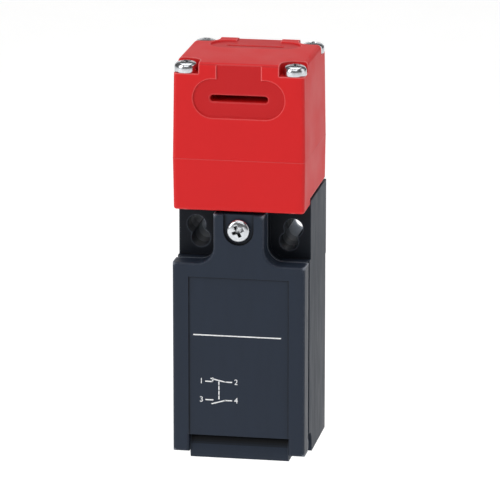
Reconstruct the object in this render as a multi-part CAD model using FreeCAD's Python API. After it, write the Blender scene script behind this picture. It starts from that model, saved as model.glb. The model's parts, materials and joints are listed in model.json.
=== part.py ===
import FreeCAD, Part
import math
import os

# Safety interlock switch with a key-operated head, millimetres.
# X runs across the front, Y from the front to the mounting wall, Z up from the base.
# Rest is the switch with its key withdrawn and its cover screwed shut.

V = FreeCAD.Vector
ALONG_X = V(1, 0, 0)
ALONG_Y = V(0, 1, 0)
ALONG_Z = V(0, 0, 1)

# Envelope
BODY_WIDTH = 30.0
BODY_DEPTH = 30.0
EASE = 0.1               # play between pieces that are put together by hand
RUNNING = 0.06           # radial play of a pin or plunger in its bore

# Case
CASE_WALL = 2.2
BACK_WALL = 2.4
FLOOR = 3.0
BACK_EDGE_RADIUS = 0.5
PAD_RISE = 0.6           # raised mounting face on the back
PAD_DROP = 4.0           # how far it reaches below the shoulders
POCKET_STEP = 3.0        # case front to the seats of the mounting screws
POCKET_HEIGHT = 13.9     # shoulders to the deck that carries the head
DECK_STEP = 0.6          # shadow gap between the case's rim and the head
DECK_RIM = 1.2           # width of that rim

# Mounting holes: a wide pair run together with a closer, lower pair
FIXING_RADIUS = 2.15
FIXING_EDGE = 4.0        # wide pair's axes from the case's sides
FIXING_RISE = 6.9        # wide pair above the shoulders
PAIR_STEP = 1.0          # lower pair closer to the middle by this much each side
PAIR_DROP = 3.05

# Cable entry, drawn at the thread's core
ENTRY_RADIUS = 9.2
ENTRY_LENGTH = 9.6
ENTRY_WALL = 2.4
WIRING_SPACE = 6.0       # entry boss to the contact block

# Cover
COVER_DEPTH = 4.8
COVER_WALL = 1.7
COVER_RIM = 2.0
COVER_EDGE_RADIUS = 0.6
COVER_EAR = 3.65         # width of the two feet beside the entry ledge
EAR_LIFT = 1.56
NOTCH_HEIGHT = 5.5
JOINT_GAP = 0.6
SEAM_INSET = 0.5         # gasket edge from the outside
TONGUE_WIDTH = 11.46
SHOULDER_FILLET = 3.9
LABEL_MARGIN = 3.65
LABEL_DROP = 3.15        # label field below the shoulders
LABEL_DEPTH = 0.25

# Cover hinge: two arms with stub pins in the case's bottom corners
HINGE_SETBACK = 2.0      # behind the case's front face
HINGE_HEIGHT = 2.2
HINGE_PIN_RADIUS = 0.9
HINGE_PIN_LENGTH = 1.5
HINGE_ARM_RADIUS = 1.4
HINGE_ARM_INSET = 0.5
SWING_GAP = 0.25

# Pan head screws
SCREW_RADIUS = 1.45
PAN_RADIUS = 2.6
PAN_HEIGHT = 2.4
PAN_BEVEL = 0.4          # share of the head's height that is bevelled
CROSS_WIDTH = 0.8
CROSS_LENGTH = 3.0
CROSS_DEPTH = 1.0

# Cover screw
SCREW_RISE = 7.9         # above the shoulders
SCREW_CHANNEL_PLAY = 0.8
SCREW_CHANNEL_DEPTH = 0.7
COVER_PAN_HEIGHT = 1.65  # lower head than the other screws'
SCREW_GRIP = 4.5         # length of screw inside the insert
SWING_PLAY = 0.15        # radial play that lets the screw leave on the cover's arc
INSERT_WALL = 0.7

# Head
HEAD_INSET = 0.1         # head's sides from the case's
HEAD_PARTING = 9.9       # mould's parting line above the deck
HEAD_TOP_DRAFT = 0.3
HEAD_FOOT_DRAFT = 0.15
HEAD_CORNER_RADIUS = 0.8
HEAD_TOP_RADIUS = 1.0
HEAD_FOOT_RADIUS = 0.6
LIP_DROP = 1.75          # front lip hangs this far below the deck
LIP_WALL = 2.0
LIP_GAP = 0.7
HEAD_SCREW_EDGE = 2.7    # screw axes from the head's sides
CORNER_NOTCH_DEPTH = 2.5
CORNER_NOTCH_PLAY = 0.6

# Key openings on the front and the top
KEY_OFFSET = 6.9         # from the cam's axis
KEY_EDGE = 7.9           # front key slot to the head's top
KEY_SLOT_WIDTH = 13.0
KEY_SLOT_HEIGHT = 1.5
KEY_SLOT_LEAD = 0.2
TRACK_WIDTH = 20.7
TRACK_HEIGHT = 8.9
TRACK_DEPTH = 0.35
TRACK_SLOPE = 0.2
TRACK_CHANNEL = 10.0

# Cam
STROKE = 3.0             # plunger travel
CAM_TURN = 50.0          # degrees from key out to key in
CAM_DWELL = 12.0         # degrees of constant radius before the spiral
CAM_RADIUS = 9.0
CAM_RELIEF = 0.4         # body of the cam below its largest radius
CAM_HALF_WIDTH = 6.5
CAM_STEP = 4.0           # where the key's tip meets the cam
CAM_LEDGE = 5.6          # floor of the key's way over the cam
CAM_ROOM = 2.7           # under the cam
CHAMBER_PLAY = 0.6       # around the turning cam
HUB_RADIUS = 3.2
HUB_LENGTH = 2.3
CAM_PIN_RADIUS = 1.5
PIN_SEAT = 2.3

# Plunger and the neck that carries the head
PLUNGER_RADIUS = 2.25
CAM_GAP = 0.6
SEAL_WIDTH = 1.3
SEAL_HEIGHT = 1.8
SEAL_LIP = 0.3
NECK_WALL = 1.4
NECK_FLANGE_REACH = 1.3
NECK_FLANGE = 1.2
PLATE_THICKNESS = 1.5
PLATE_LIFT = 0.3
PLATE_LAND = 4.1
PLATE_ARM_RADIUS = 1.9
RETAINER_THICKNESS = 3.4

# Contact block
BLOCK_SEAT = 2.5         # block's back to the case's back wall
BLOCK_SIDE_PLAY = 0.5
BLOCK_TOP_PLAY = 0.3
BLOCK_MARGIN = 0.8       # block above and below its terminals
BLOCK_FLOOR = 2.0
BLOCK_EAR_THICKNESS = 4.0
BLOCK_SCREW_EDGE = 3.3
RIB_EDGE = 4.3
RIB_WIDTH = 1.6
CARRIER_HALF_WIDTH = 3.4
CARRIER_HALF_DEPTH = 4.0
CARRIER_FOOT = 2.0       # carrier's bottom above the channel's floor
CARRIER_PLAY = 0.2
PLUNGER_SOCKET = 1.0
LID_THICKNESS = 1.4
LID_LAP = 1.2
LID_GAP = 0.5
BRIDGE_SPACING = 7.0
BRIDGE_HALF_WIDTH = 2.0
BRIDGE_THICKNESS = 1.0
BRIDGE_END = 0.2         # bridge beyond its contact tip
TIP_RADIUS = 1.2
TIP_HEIGHT = 0.5
TIP_INSET = 1.6          # contact tip from the strip's inner edge
CONTACT_GAP = 0.2
STRIP_THICKNESS = 0.8
STRIP_END = 1.2          # strip's leg beyond the bridge
BAY_WALL = 0.8
BAY_LIP = 0.9
TAB_HEIGHT = 6.2
TERMINAL_RADIUS = 1.5
TERMINAL_HEAD = 1.8
TERMINAL_DEPTH = 6.0
CLAMP_HEIGHT = 5.0
CLAMP_THICKNESS = 0.9
CLAMP_LIP = 0.5
SPRING_WIRE = 0.25       # wire radius
SPRING_TURNS = 3
RETURN_SPRING_RADIUS = 1.8
RETURN_SPRING_SOCKET = 2.0
CONTACT_SPRING_RADIUS = 1.3

# Across: half widths worked out from the sizes above
HALF_WIDTH = BODY_WIDTH / 2
REACH = BODY_WIDTH / 6   # how far a cutter runs past the face that it opens
CHAMBER_HALF = HALF_WIDTH - CASE_WALL
NOTCH_HALF = HALF_WIDTH - COVER_EAR
LEDGE_HALF = NOTCH_HALF - EASE
HEAD_HALF = HALF_WIDTH - HEAD_INSET
SCREW_HALF = HEAD_HALF - HEAD_SCREW_EDGE
CORNER_NOTCH_RADIUS = PAN_RADIUS + CORNER_NOTCH_PLAY
CAM_CHAMBER_HALF = CAM_HALF_WIDTH + HUB_LENGTH + EASE * 2
BLOCK_HALF = CHAMBER_HALF - BLOCK_SIDE_PLAY
BLOCK_SCREW_X = BLOCK_HALF - BLOCK_SCREW_EDGE
RIB_X = BLOCK_HALF - RIB_EDGE
LID_HALF = CARRIER_HALF_WIDTH + CARRIER_PLAY + LID_LAP
STRIP_INNER = LID_HALF + BAY_WALL
STRIP_OUTER = BLOCK_HALF - BAY_LIP
TERMINAL_X = (STRIP_INNER + STRIP_OUTER) / 2
CLAMP_HALF = (STRIP_OUTER - STRIP_INNER) / 2
TERMINAL_HEAD_RADIUS = CLAMP_HALF - CLAMP_LIP - EASE
TIP_X = STRIP_INNER + TIP_INSET
BRIDGE_HALF_LENGTH = TIP_X + TIP_RADIUS + BRIDGE_END
LEG_OUTER = BRIDGE_HALF_LENGTH + STRIP_END

# Front to back
FRONT = -BODY_DEPTH / 2
BACK = BODY_DEPTH / 2
AXIS_Y = (FRONT + BACK) / 2
HEAD_FRONT = AXIS_Y - HEAD_HALF
COVER_BACK = FRONT + COVER_DEPTH
CASE_FRONT = COVER_BACK + JOINT_GAP
POCKET_FLOOR = CASE_FRONT + POCKET_STEP
LOWER_BACK = BACK - PAD_RISE
CHAMBER_BACK = LOWER_BACK - BACK_WALL
ENTRY_Y = CASE_FRONT + ENTRY_RADIUS + ENTRY_WALL
SCREW_FACE = FRONT + SCREW_CHANNEL_DEPTH
INSERT_RADIUS = SCREW_RADIUS + SWING_PLAY + INSERT_WALL
INSERT_END = CASE_FRONT + SCREW_GRIP + EASE
HINGE_Y = CASE_FRONT + HINGE_SETBACK
HINGE_POCKET_RADIUS = math.hypot(HINGE_Y - COVER_BACK, HINGE_HEIGHT - EAR_LIFT) + SWING_GAP
SWING_RADIUS = math.hypot(HINGE_Y - FRONT - COVER_WALL, NOTCH_HEIGHT - HINGE_HEIGHT) - SWING_GAP
CAM_CHAMBER = CAM_RADIUS + CHAMBER_PLAY
SEAL_RADIUS = PLUNGER_RADIUS + RUNNING + SEAL_WIDTH
NECK_RADIUS = SEAL_RADIUS + NECK_WALL
NECK_FLANGE_RADIUS = NECK_RADIUS + NECK_FLANGE_REACH
PLATE_RADIUS = NECK_FLANGE_RADIUS + PLATE_LAND
CONTACT_HALF_DEPTH = BRIDGE_HALF_WIDTH + CARRIER_PLAY * 2
TAB_BACK = AXIS_Y - CONTACT_HALF_DEPTH
TAB_FRONT = TAB_BACK - STRIP_THICKNESS
CLAMP_FRONT = TAB_FRONT - CLAMP_THICKNESS
BLOCK_FRONT = AXIS_Y - CARRIER_HALF_DEPTH - CARRIER_PLAY - LID_GAP - LID_THICKNESS
BLOCK_BACK = CHAMBER_BACK - BLOCK_SEAT
BLOCK_SCREW_FACE = BLOCK_BACK - BLOCK_EAR_THICKNESS
BLOCK_SCREW_END = CHAMBER_BACK + BACK_WALL / 2

# Upwards from the base: entry, wiring space, contact block, shoulders, deck, head
BLOCK_BOTTOM = ENTRY_LENGTH + WIRING_SPACE
CHANNEL_FLOOR = BLOCK_BOTTOM + BLOCK_FLOOR
LID_BOTTOM = BLOCK_BOTTOM + BLOCK_FLOOR / 2
LOWER_TAB = BLOCK_BOTTOM + BLOCK_MARGIN
LOWER_STRIP_TOP = LOWER_TAB + TAB_HEIGHT
LOWER_STRIP_BOTTOM = LOWER_STRIP_TOP - STRIP_THICKNESS
BRIDGE_REACH = BRIDGE_THICKNESS / 2 + TIP_HEIGHT
LOWER_BRIDGE = LOWER_STRIP_TOP + TIP_HEIGHT + CONTACT_GAP + BRIDGE_REACH
UPPER_BRIDGE = LOWER_BRIDGE + BRIDGE_SPACING
UPPER_STRIP_BOTTOM = UPPER_BRIDGE + BRIDGE_REACH + STROKE + CONTACT_GAP + TIP_HEIGHT
UPPER_STRIP_TOP = UPPER_STRIP_BOTTOM + STRIP_THICKNESS
BLOCK_TOP = UPPER_STRIP_BOTTOM + TAB_HEIGHT + BLOCK_MARGIN
TERMINAL_HEIGHTS = (UPPER_STRIP_BOTTOM + (TAB_HEIGHT + STRIP_THICKNESS) / 2,
                    LOWER_STRIP_TOP - (TAB_HEIGHT + STRIP_THICKNESS) / 2)
BLOCK_SCREW_Z = BLOCK_BOTTOM - PAN_RADIUS - EASE
BLOCK_EAR_BOTTOM = BLOCK_SCREW_Z - PAN_RADIUS
CHAMBER_TOP = BLOCK_TOP + BLOCK_TOP_PLAY
CARRIER_BOTTOM = CHANNEL_FLOOR + CARRIER_FOOT
CARRIER_TOP = BLOCK_TOP - STROKE
SHOULDER_HEIGHT = CHAMBER_TOP + CASE_WALL
COVER_RIB_BOTTOM = HINGE_HEIGHT + math.sqrt((SWING_RADIUS + SWING_GAP) ** 2 - (HINGE_Y - COVER_BACK) ** 2)
FRONT_SILL = COVER_RIB_BOTTOM + COVER_RIM + SWING_GAP
SCREW_HEIGHT = SHOULDER_HEIGHT + SCREW_RISE
DECK = SHOULDER_HEIGHT + POCKET_HEIGHT
CASE_RIM = DECK - DECK_STEP
LIP_BOTTOM = DECK - LIP_DROP
TONGUE_TOP = LIP_BOTTOM - LIP_GAP
PLATE_BOTTOM = DECK + PLATE_LIFT
PLATE_TOP = PLATE_BOTTOM + PLATE_THICKNESS
FLANGE_BOTTOM = PLATE_TOP + EASE
NECK_TOP = FLANGE_BOTTOM + NECK_FLANGE
RETAINER_TOP = PLATE_TOP + RETAINER_THICKNESS
CAM_Z = RETAINER_TOP + CAM_ROOM + CAM_RADIUS
PLUNGER_TIP = CAM_Z - CAM_RADIUS - CAM_GAP
PARTING = DECK + HEAD_PARTING
HEAD_TOP = CAM_Z + KEY_OFFSET + KEY_EDGE
SCREW_SEAT = HEAD_TOP - CORNER_NOTCH_DEPTH


def box(x0, x1, y0, y1, z0, z1):
    return Part.makeBox(x1 - x0, y1 - y0, z1 - z0, V(x0, y0, z0))


def rod(radius, start, end):
    """Cylinder from one point to another."""
    return Part.makeCylinder(radius, (end - start).Length, start, end - start)


def both_sides(shape):
    """The shape and its mirror image across the middle plane, as two solids."""
    return [shape, shape.mirror(V(0, 0, 0), ALONG_X)]


def fuse(shapes):
    return shapes[0].multiFuse(shapes[1:]).removeSplitter()


def turned_profile(points):
    """Solid of revolution about Z from (radius, height) corners."""
    corners = [V(radius, 0, height) for radius, height in points]
    face = Part.Face(Part.makePolygon(corners + corners[:1]))
    return face.revolve(V(0, 0, 0), ALONG_Z, 360)


def edges_at(shape, test):
    """Edges whose two ends both pass the test."""
    return [e for e in shape.Edges if all(test(v.Point) for v in e.Vertexes)]


def near(a, b):
    return abs(a - b) < 1e-4


def pan_screw(shank_radius, length, head_radius, head_height, slots):
    """Screw with a bevelled head and one slot or two crossed ones: seat at Z 0, shank down, head up."""
    bevel = head_height * PAN_BEVEL
    profile = [(0, -length), (shank_radius, -length), (shank_radius, 0), (head_radius, 0)]
    profile += [(head_radius, head_height - bevel), (head_radius - bevel, head_height), (0, head_height)]
    screw = turned_profile(profile)
    slot = box(-CROSS_LENGTH / 2, CROSS_LENGTH / 2, -CROSS_WIDTH / 2, CROSS_WIDTH / 2,
               head_height - CROSS_DEPTH, head_height + REACH)
    cuts = [slot.rotated(V(0, 0, 0), ALONG_Z, 90 * turn) for turn in range(slots)]
    return screw.cut(cuts)


def facing_front(shape):
    """Turns a piece modelled along +Z so that it points out of the front."""
    return shape.rotated(V(0, 0, 0), ALONG_X, 90)


def coil_spring(radius, wire_radius, length, turns):
    """Open coil of square wire from Z 0 to its length, measured over the wire."""
    rise = length - 2 * wire_radius
    path = Part.Wire(Part.makeHelix(rise / turns, rise, radius).Edges)
    inner = radius - wire_radius
    outer = radius + wire_radius
    half = wire_radius
    corners = [V(inner, 0, -half), V(outer, 0, -half), V(outer, 0, half), V(inner, 0, half)]
    section = Part.makePolygon(corners + corners[:1])
    return path.makePipeShell([section], True, True).translated(V(0, 0, wire_radius))


def rounded_square(half, corner, z):
    """Wire of a square with round corners about the head's axis."""
    s = half - corner
    d = corner * math.sqrt(0.5)
    edges = []
    for turn in range(4):
        side = Part.LineSegment(V(half, -s, 0), V(half, s, 0)).toShape()
        round_corner = Part.Arc(V(half, s, 0), V(s + d, s + d, 0), V(s, half, 0)).toShape()
        for edge in (side, round_corner):
            edges.append(edge.rotated(V(0, 0, 0), ALONG_Z, 90 * turn))
    return Part.Wire(edges).translated(V(0, AXIS_Y, z))


def race_track(width, height, z):
    """Wire of a slot with round ends in a plane of constant Z, about the origin."""
    r = height / 2
    s = width / 2 - r
    right = Part.Arc(V(s, -r, z), V(s + r, 0, z), V(s, r, z)).toShape()
    left = Part.Arc(V(-s, r, z), V(-s - r, 0, z), V(-s, -r, z)).toShape()
    top = Part.LineSegment(V(s, r, z), V(-s, r, z)).toShape()
    bottom = Part.LineSegment(V(-s, -r, z), V(s, -r, z)).toShape()
    return Part.Wire([bottom, right, top, left])


def tongue_prism(y0, y1):
    """The waisted tab above the shoulders, shared by the case and the cover."""
    r = SHOULDER_FILLET
    half = TONGUE_WIDTH / 2
    d = r * (1 - math.sqrt(0.5))
    low = SHOULDER_HEIGHT - COVER_RIM

    def root(side):
        foot = V(side * (half + r), y0, SHOULDER_HEIGHT)
        middle = V(side * (half + d), y0, SHOULDER_HEIGHT + d)
        return Part.Arc(foot, middle, V(side * half, y0, SHOULDER_HEIGHT + r)).toShape()

    crown = Part.makePolygon([V(-half, y0, SHOULDER_HEIGHT + r), V(-half, y0, TONGUE_TOP),
                              V(half, y0, TONGUE_TOP), V(half, y0, SHOULDER_HEIGHT + r)])
    base = Part.makePolygon([V(half + r, y0, SHOULDER_HEIGHT), V(half + r, y0, low),
                             V(-half - r, y0, low), V(-half - r, y0, SHOULDER_HEIGHT)])
    edges = root(-1).Edges + crown.Edges + root(1).Edges + base.Edges
    face = Part.Face(Part.Wire(Part.__sortEdges__(edges)))
    return face.extrude(V(0, y1 - y0, 0))


def entry_ledge():
    """Foot of the case under the cover, its nose rounded about the cover's hinge line."""
    top = NOTCH_HEIGHT - EASE * 2
    half = LEDGE_HALF
    back = CASE_FRONT + CASE_WALL

    def nose_at(z):
        return HINGE_Y - math.sqrt(SWING_RADIUS ** 2 - (z - HINGE_HEIGHT) ** 2)

    toe = V(-half, nose_at(0), 0)
    brow = V(-half, nose_at(top), top)
    nose = Part.Arc(toe, V(-half, nose_at(HINGE_HEIGHT), HINGE_HEIGHT), brow).toShape()
    rest = Part.makePolygon([brow, V(-half, back, top), V(-half, back, 0), toe])
    return Part.Face(Part.Wire([nose] + rest.Edges)).extrude(V(2 * half, 0, 0))


def hinge_pocket():
    """Space in the case's right corner for the cover's hinge arm, open below and in front."""
    inner = LEDGE_HALF
    outer = HALF_WIDTH + REACH
    r = HINGE_POCKET_RADIUS
    quarter = rod(r, V(inner, HINGE_Y, HINGE_HEIGHT), V(outer, HINGE_Y, HINGE_HEIGHT))
    below = box(inner, outer, HINGE_Y - r, HINGE_Y + r, -REACH, HINGE_HEIGHT)
    ahead = box(inner, outer, CASE_FRONT - REACH, HINGE_Y, -REACH, HINGE_HEIGHT + r)
    pin_end = inner - HINGE_PIN_LENGTH - EASE
    bore = rod(HINGE_PIN_RADIUS + RUNNING, V(pin_end, HINGE_Y, HINGE_HEIGHT), V(inner, HINGE_Y, HINGE_HEIGHT))
    return fuse([quarter, below, ahead, bore])


def fixing_holes():
    """Two pairs of mounting holes; the lower pair sits closer together and runs into the upper."""
    wide = HALF_WIDTH - FIXING_EDGE
    height = SHOULDER_HEIGHT + FIXING_RISE
    holes = []
    for x, z in ((wide, height), (wide - PAIR_STEP, height - PAIR_DROP)):
        holes += both_sides(rod(FIXING_RADIUS, V(x, FRONT - REACH, z), V(x, BACK + REACH, z)))
    return holes


def neck():
    """Flanged neck on the deck; the head's clamp plate hooks under its flange."""
    stem = rod(NECK_RADIUS, V(0, AXIS_Y, DECK - EASE), V(0, AXIS_Y, NECK_TOP))
    flange = rod(NECK_FLANGE_RADIUS, V(0, AXIS_Y, FLANGE_BOTTOM), V(0, AXIS_Y, NECK_TOP))
    return stem.fuse(flange)


def round_backed(y0, y1, z0, z1):
    """Block as wide as the case with its two upright edges at the back rounded."""
    block = box(-HALF_WIDTH, HALF_WIDTH, y0, y1, z0, z1)
    upright = [e for e in edges_at(block, lambda p: near(p.y, y1)) if near(e.Length, z1 - z0)]
    return block.makeFillet(BACK_EDGE_RADIUS, upright)


def case_blank():
    """Outside of the case: box, raised back pad, deck for the head, stepped front with its tongue."""
    shell = round_backed(CASE_FRONT, LOWER_BACK, 0, CASE_RIM)
    pad = round_backed(LOWER_BACK - BACK_EDGE_RADIUS, BACK, SHOULDER_HEIGHT - PAD_DROP, CASE_RIM)
    half = HALF_WIDTH - DECK_RIM
    deck = box(-half, half, CASE_FRONT, BACK - DECK_RIM, CASE_RIM - EASE, DECK)
    step = box(-HALF_WIDTH - REACH, HALF_WIDTH + REACH, CASE_FRONT - REACH, POCKET_FLOOR,
               SHOULDER_HEIGHT, DECK + REACH)
    pockets = step.cut(tongue_prism(CASE_FRONT - REACH, POCKET_FLOOR))
    return fuse([shell, pad, deck]).cut(pockets)


def case_inside():
    """The wiring and contact chamber with its window to the front."""
    inside = CASE_FRONT + CASE_WALL
    chamber = box(-CHAMBER_HALF, CHAMBER_HALF, inside, CHAMBER_BACK, FLOOR, CHAMBER_TOP)
    window = box(-CHAMBER_HALF, CHAMBER_HALF, CASE_FRONT - REACH, inside, FRONT_SILL, CHAMBER_TOP)
    return fuse([chamber, window])


def block_supports():
    """Screw bosses and upright ribs on the back wall that carry the contact block."""
    wall = LOWER_BACK - EASE
    axis = V(BLOCK_SCREW_X, 0, BLOCK_SCREW_Z)
    boss = rod(2 * SCREW_RADIUS, axis + ALONG_Y * BLOCK_BACK, axis + ALONG_Y * wall)
    rib = box(RIB_X - RIB_WIDTH / 2, RIB_X + RIB_WIDTH / 2, BLOCK_BACK, wall, BLOCK_BOTTOM, CHAMBER_TOP)
    return both_sides(boss) + both_sides(rib)


def make_case():
    body = case_blank().cut(case_inside())
    ring = rod(ENTRY_RADIUS + ENTRY_WALL - EASE, V(0, ENTRY_Y, 0), V(0, ENTRY_Y, ENTRY_LENGTH))
    corner_back = HINGE_Y + HINGE_POCKET_RADIUS + CASE_WALL
    corner_top = HINGE_HEIGHT + HINGE_POCKET_RADIUS + CASE_WALL
    corner = box(NOTCH_HALF - CASE_WALL, HALF_WIDTH, CASE_FRONT, corner_back, 0, corner_top)
    body = fuse([body, entry_ledge(), ring, neck()] + both_sides(corner) + block_supports())
    cuts = both_sides(hinge_pocket()) + fixing_holes()
    cuts.append(rod(ENTRY_RADIUS, V(0, ENTRY_Y, -REACH), V(0, ENTRY_Y, ENTRY_LENGTH + REACH)))
    bore = PLUNGER_RADIUS + RUNNING
    cuts.append(rod(bore, V(0, AXIS_Y, CHAMBER_TOP - REACH), V(0, AXIS_Y, NECK_TOP + REACH)))
    cuts.append(rod(SEAL_RADIUS, V(0, AXIS_Y, NECK_TOP - SEAL_HEIGHT), V(0, AXIS_Y, NECK_TOP + REACH)))
    cuts.append(rod(INSERT_RADIUS, V(0, CASE_FRONT - REACH, SCREW_HEIGHT), V(0, INSERT_END, SCREW_HEIGHT)))
    pilot = rod(SCREW_RADIUS, V(BLOCK_SCREW_X, BLOCK_BACK - REACH, BLOCK_SCREW_Z),
                V(BLOCK_SCREW_X, BLOCK_SCREW_END, BLOCK_SCREW_Z))
    return body.cut(cuts + both_sides(pilot))


def hinge_arm():
    """Right-hand arm and stub pin on which the cover swings."""
    outer = HALF_WIDTH - HINGE_ARM_INSET
    inner = LEDGE_HALF + SWING_GAP
    centre = V(0, HINGE_Y, HINGE_HEIGHT)
    eye = rod(HINGE_ARM_RADIUS, centre + ALONG_X * inner, centre + ALONG_X * outer)
    bar = box(inner, outer, COVER_BACK - COVER_RIM, HINGE_Y, EAR_LIFT, HINGE_HEIGHT + HINGE_ARM_RADIUS)
    pin = rod(HINGE_PIN_RADIUS, centre + ALONG_X * (LEDGE_HALF - HINGE_PIN_LENGTH), centre + ALONG_X * inner)
    return fuse([eye, bar, pin])


def cover_blank():
    """Outside of the cover: plate with two feet and a tongue, front edges rounded."""
    plate = box(-HALF_WIDTH, HALF_WIDTH, FRONT, COVER_BACK, EAR_LIFT, SHOULDER_HEIGHT)
    notch = box(-NOTCH_HALF, NOTCH_HALF, FRONT - REACH, COVER_BACK + REACH, -REACH, NOTCH_HEIGHT)
    blank = fuse([plate, tongue_prism(FRONT, COVER_BACK)]).cut(notch)
    return blank.makeFillet(COVER_EDGE_RADIUS, edges_at(blank, lambda p: near(p.y, FRONT)))


def make_cover():
    inside = FRONT + COVER_WALL
    half = HALF_WIDTH - COVER_RIM
    sill = COVER_RIB_BOTTOM + COVER_RIM
    hollow = box(-half, half, inside, COVER_BACK + REACH, sill, SHOULDER_HEIGHT - COVER_RIM)
    under_rib = box(-NOTCH_HALF, NOTCH_HALF, inside, COVER_BACK + REACH, NOTCH_HEIGHT - REACH, COVER_RIB_BOTTOM)
    half = HALF_WIDTH - LABEL_MARGIN
    label_top = SHOULDER_HEIGHT - LABEL_DROP
    label = box(-half, half, FRONT - REACH, FRONT + LABEL_DEPTH, NOTCH_HEIGHT - REACH, label_top)
    half = PAN_RADIUS + SCREW_CHANNEL_PLAY
    round_end = rod(half, V(0, FRONT - REACH, SCREW_HEIGHT), V(0, SCREW_FACE, SCREW_HEIGHT))
    channel = box(-half, half, FRONT - REACH, SCREW_FACE, SCREW_HEIGHT, TONGUE_TOP + REACH)
    hole = rod(SCREW_RADIUS + EASE, V(0, FRONT, SCREW_HEIGHT), V(0, COVER_BACK + REACH, SCREW_HEIGHT))
    shell = cover_blank().cut([hollow, under_rib, label, round_end, channel, hole])
    return fuse([shell] + both_sides(hinge_arm()))


def make_cover_gasket():
    """Flat frame in the joint between the cover's rim and the case."""
    outer = HALF_WIDTH - SEAM_INSET
    front = COVER_BACK + EASE / 2
    frame = box(-outer, outer, front, CASE_FRONT, COVER_RIB_BOTTOM + EASE, SHOULDER_HEIGHT - SEAM_INSET)
    opening = box(-CHAMBER_HALF, CHAMBER_HALF, front - REACH, CASE_FRONT + REACH, FRONT_SILL, CHAMBER_TOP)
    return frame.cut(opening)


def make_cover_screw():
    length = CASE_FRONT + SCREW_GRIP - EASE - SCREW_FACE
    screw = facing_front(pan_screw(SCREW_RADIUS, length, PAN_RADIUS, COVER_PAN_HEIGHT, 2))
    return screw.translated(V(0, SCREW_FACE, SCREW_HEIGHT))


def make_cover_screw_insert():
    """Grooved brass bush moulded into the case behind the cover's tongue."""
    start = V(0, CASE_FRONT, SCREW_HEIGHT)
    end = V(0, INSERT_END, SCREW_HEIGHT)
    middle = (start + end) * 0.5
    half_groove = ALONG_Y * (EASE * 4)
    groove = rod(INSERT_RADIUS + REACH, middle - half_groove, middle + half_groove)
    core = rod(INSERT_RADIUS - INSERT_WALL / 2, start, end)
    bore = rod(SCREW_RADIUS + SWING_PLAY, start - ALONG_Y, end + ALONG_Y)
    return rod(INSERT_RADIUS, start, end).cut(groove.cut(core)).cut(bore)


def key_opening():
    """Cutter for one key opening: its face is the plane Z 0, its channel runs towards +Y."""
    inner = race_track(TRACK_WIDTH - 2 * TRACK_SLOPE, TRACK_HEIGHT - 2 * TRACK_SLOPE, -TRACK_DEPTH)
    outer = race_track(TRACK_WIDTH + 2 * TRACK_SLOPE, TRACK_HEIGHT + 2 * TRACK_SLOPE, TRACK_DEPTH)
    track = Part.makeLoft([inner, outer], True, True)
    channel = box(-TRACK_CHANNEL / 2, TRACK_CHANNEL / 2, 0, HEAD_HALF, -TRACK_DEPTH, REACH)
    grown = 2 * KEY_SLOT_LEAD
    throat = race_track(KEY_SLOT_WIDTH, KEY_SLOT_HEIGHT, -TRACK_DEPTH - KEY_SLOT_LEAD)
    mouth = race_track(KEY_SLOT_WIDTH + grown, KEY_SLOT_HEIGHT + grown, -TRACK_DEPTH)
    lead = Part.makeLoft([throat, mouth], True, True)
    slot = Part.Face(throat).extrude(V(0, 0, -HEAD_HALF))
    return fuse([track, channel, lead, slot])


def front_face_at(z):
    """Y of the head's drafted front face at a height above the parting line."""
    share = (z - PARTING) / (HEAD_TOP - PARTING)
    return HEAD_FRONT + HEAD_TOP_DRAFT * share


def corner_notch():
    """Cutter for one screw corner, in the quarter of +X and +Y about the head's axis."""
    inner = SCREW_HALF - CORNER_NOTCH_RADIUS
    outer = HEAD_HALF + REACH
    block = box(inner, outer, inner, outer, SCREW_SEAT, HEAD_TOP + REACH)
    inmost = edges_at(block, lambda p: near(p.x, inner) and near(p.y, inner))
    return block.makeFillet(CORNER_NOTCH_RADIUS, inmost)


def head_outside():
    """Drafted both ways from the parting line, the top's edges rounded between the screw corners."""
    foot = rounded_square(HEAD_HALF - HEAD_FOOT_DRAFT, HEAD_CORNER_RADIUS, LIP_BOTTOM)
    waist = rounded_square(HEAD_HALF, HEAD_CORNER_RADIUS, PARTING)
    top = rounded_square(HEAD_HALF - HEAD_TOP_DRAFT, HEAD_CORNER_RADIUS, HEAD_TOP)
    lower = Part.makeLoft([foot, waist], True, True)
    lower = lower.makeFillet(HEAD_FOOT_RADIUS, edges_at(lower, lambda p: near(p.z, LIP_BOTTOM)))
    notches = [corner_notch().rotated(V(0, 0, 0), ALONG_Z, 90 * turn) for turn in range(4)]
    upper = Part.makeLoft([waist, top], True, True)
    upper = upper.cut([notch.translated(V(0, AXIS_Y, 0)) for notch in notches])
    outer = HEAD_HALF - HEAD_TOP_DRAFT
    rim = edges_at(upper, lambda p: near(p.z, HEAD_TOP) and near(max(abs(p.x), abs(p.y - AXIS_Y)), outer))
    return lower.fuse(upper.makeFillet(HEAD_TOP_RADIUS, rim))


def cam_chamber():
    """Round chamber for the cam, open downwards for fitting, with a slot each side for the pin."""
    w = CAM_CHAMBER_HALF
    dome = rod(CAM_CHAMBER, V(-w, AXIS_Y, CAM_Z), V(w, AXIS_Y, CAM_Z))
    shaft = box(-w, w, AXIS_Y - CAM_CHAMBER, AXIS_Y + CAM_CHAMBER, LIP_BOTTOM - REACH, CAM_Z)
    end = w + PIN_SEAT + EASE
    r = CAM_PIN_RADIUS + RUNNING
    seat = rod(r, V(-end, AXIS_Y, CAM_Z), V(end, AXIS_Y, CAM_Z))
    way = box(-end, end, AXIS_Y - r, AXIS_Y + r, LIP_BOTTOM - REACH, CAM_Z)
    return fuse([dome, shaft, seat, way])


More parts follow.
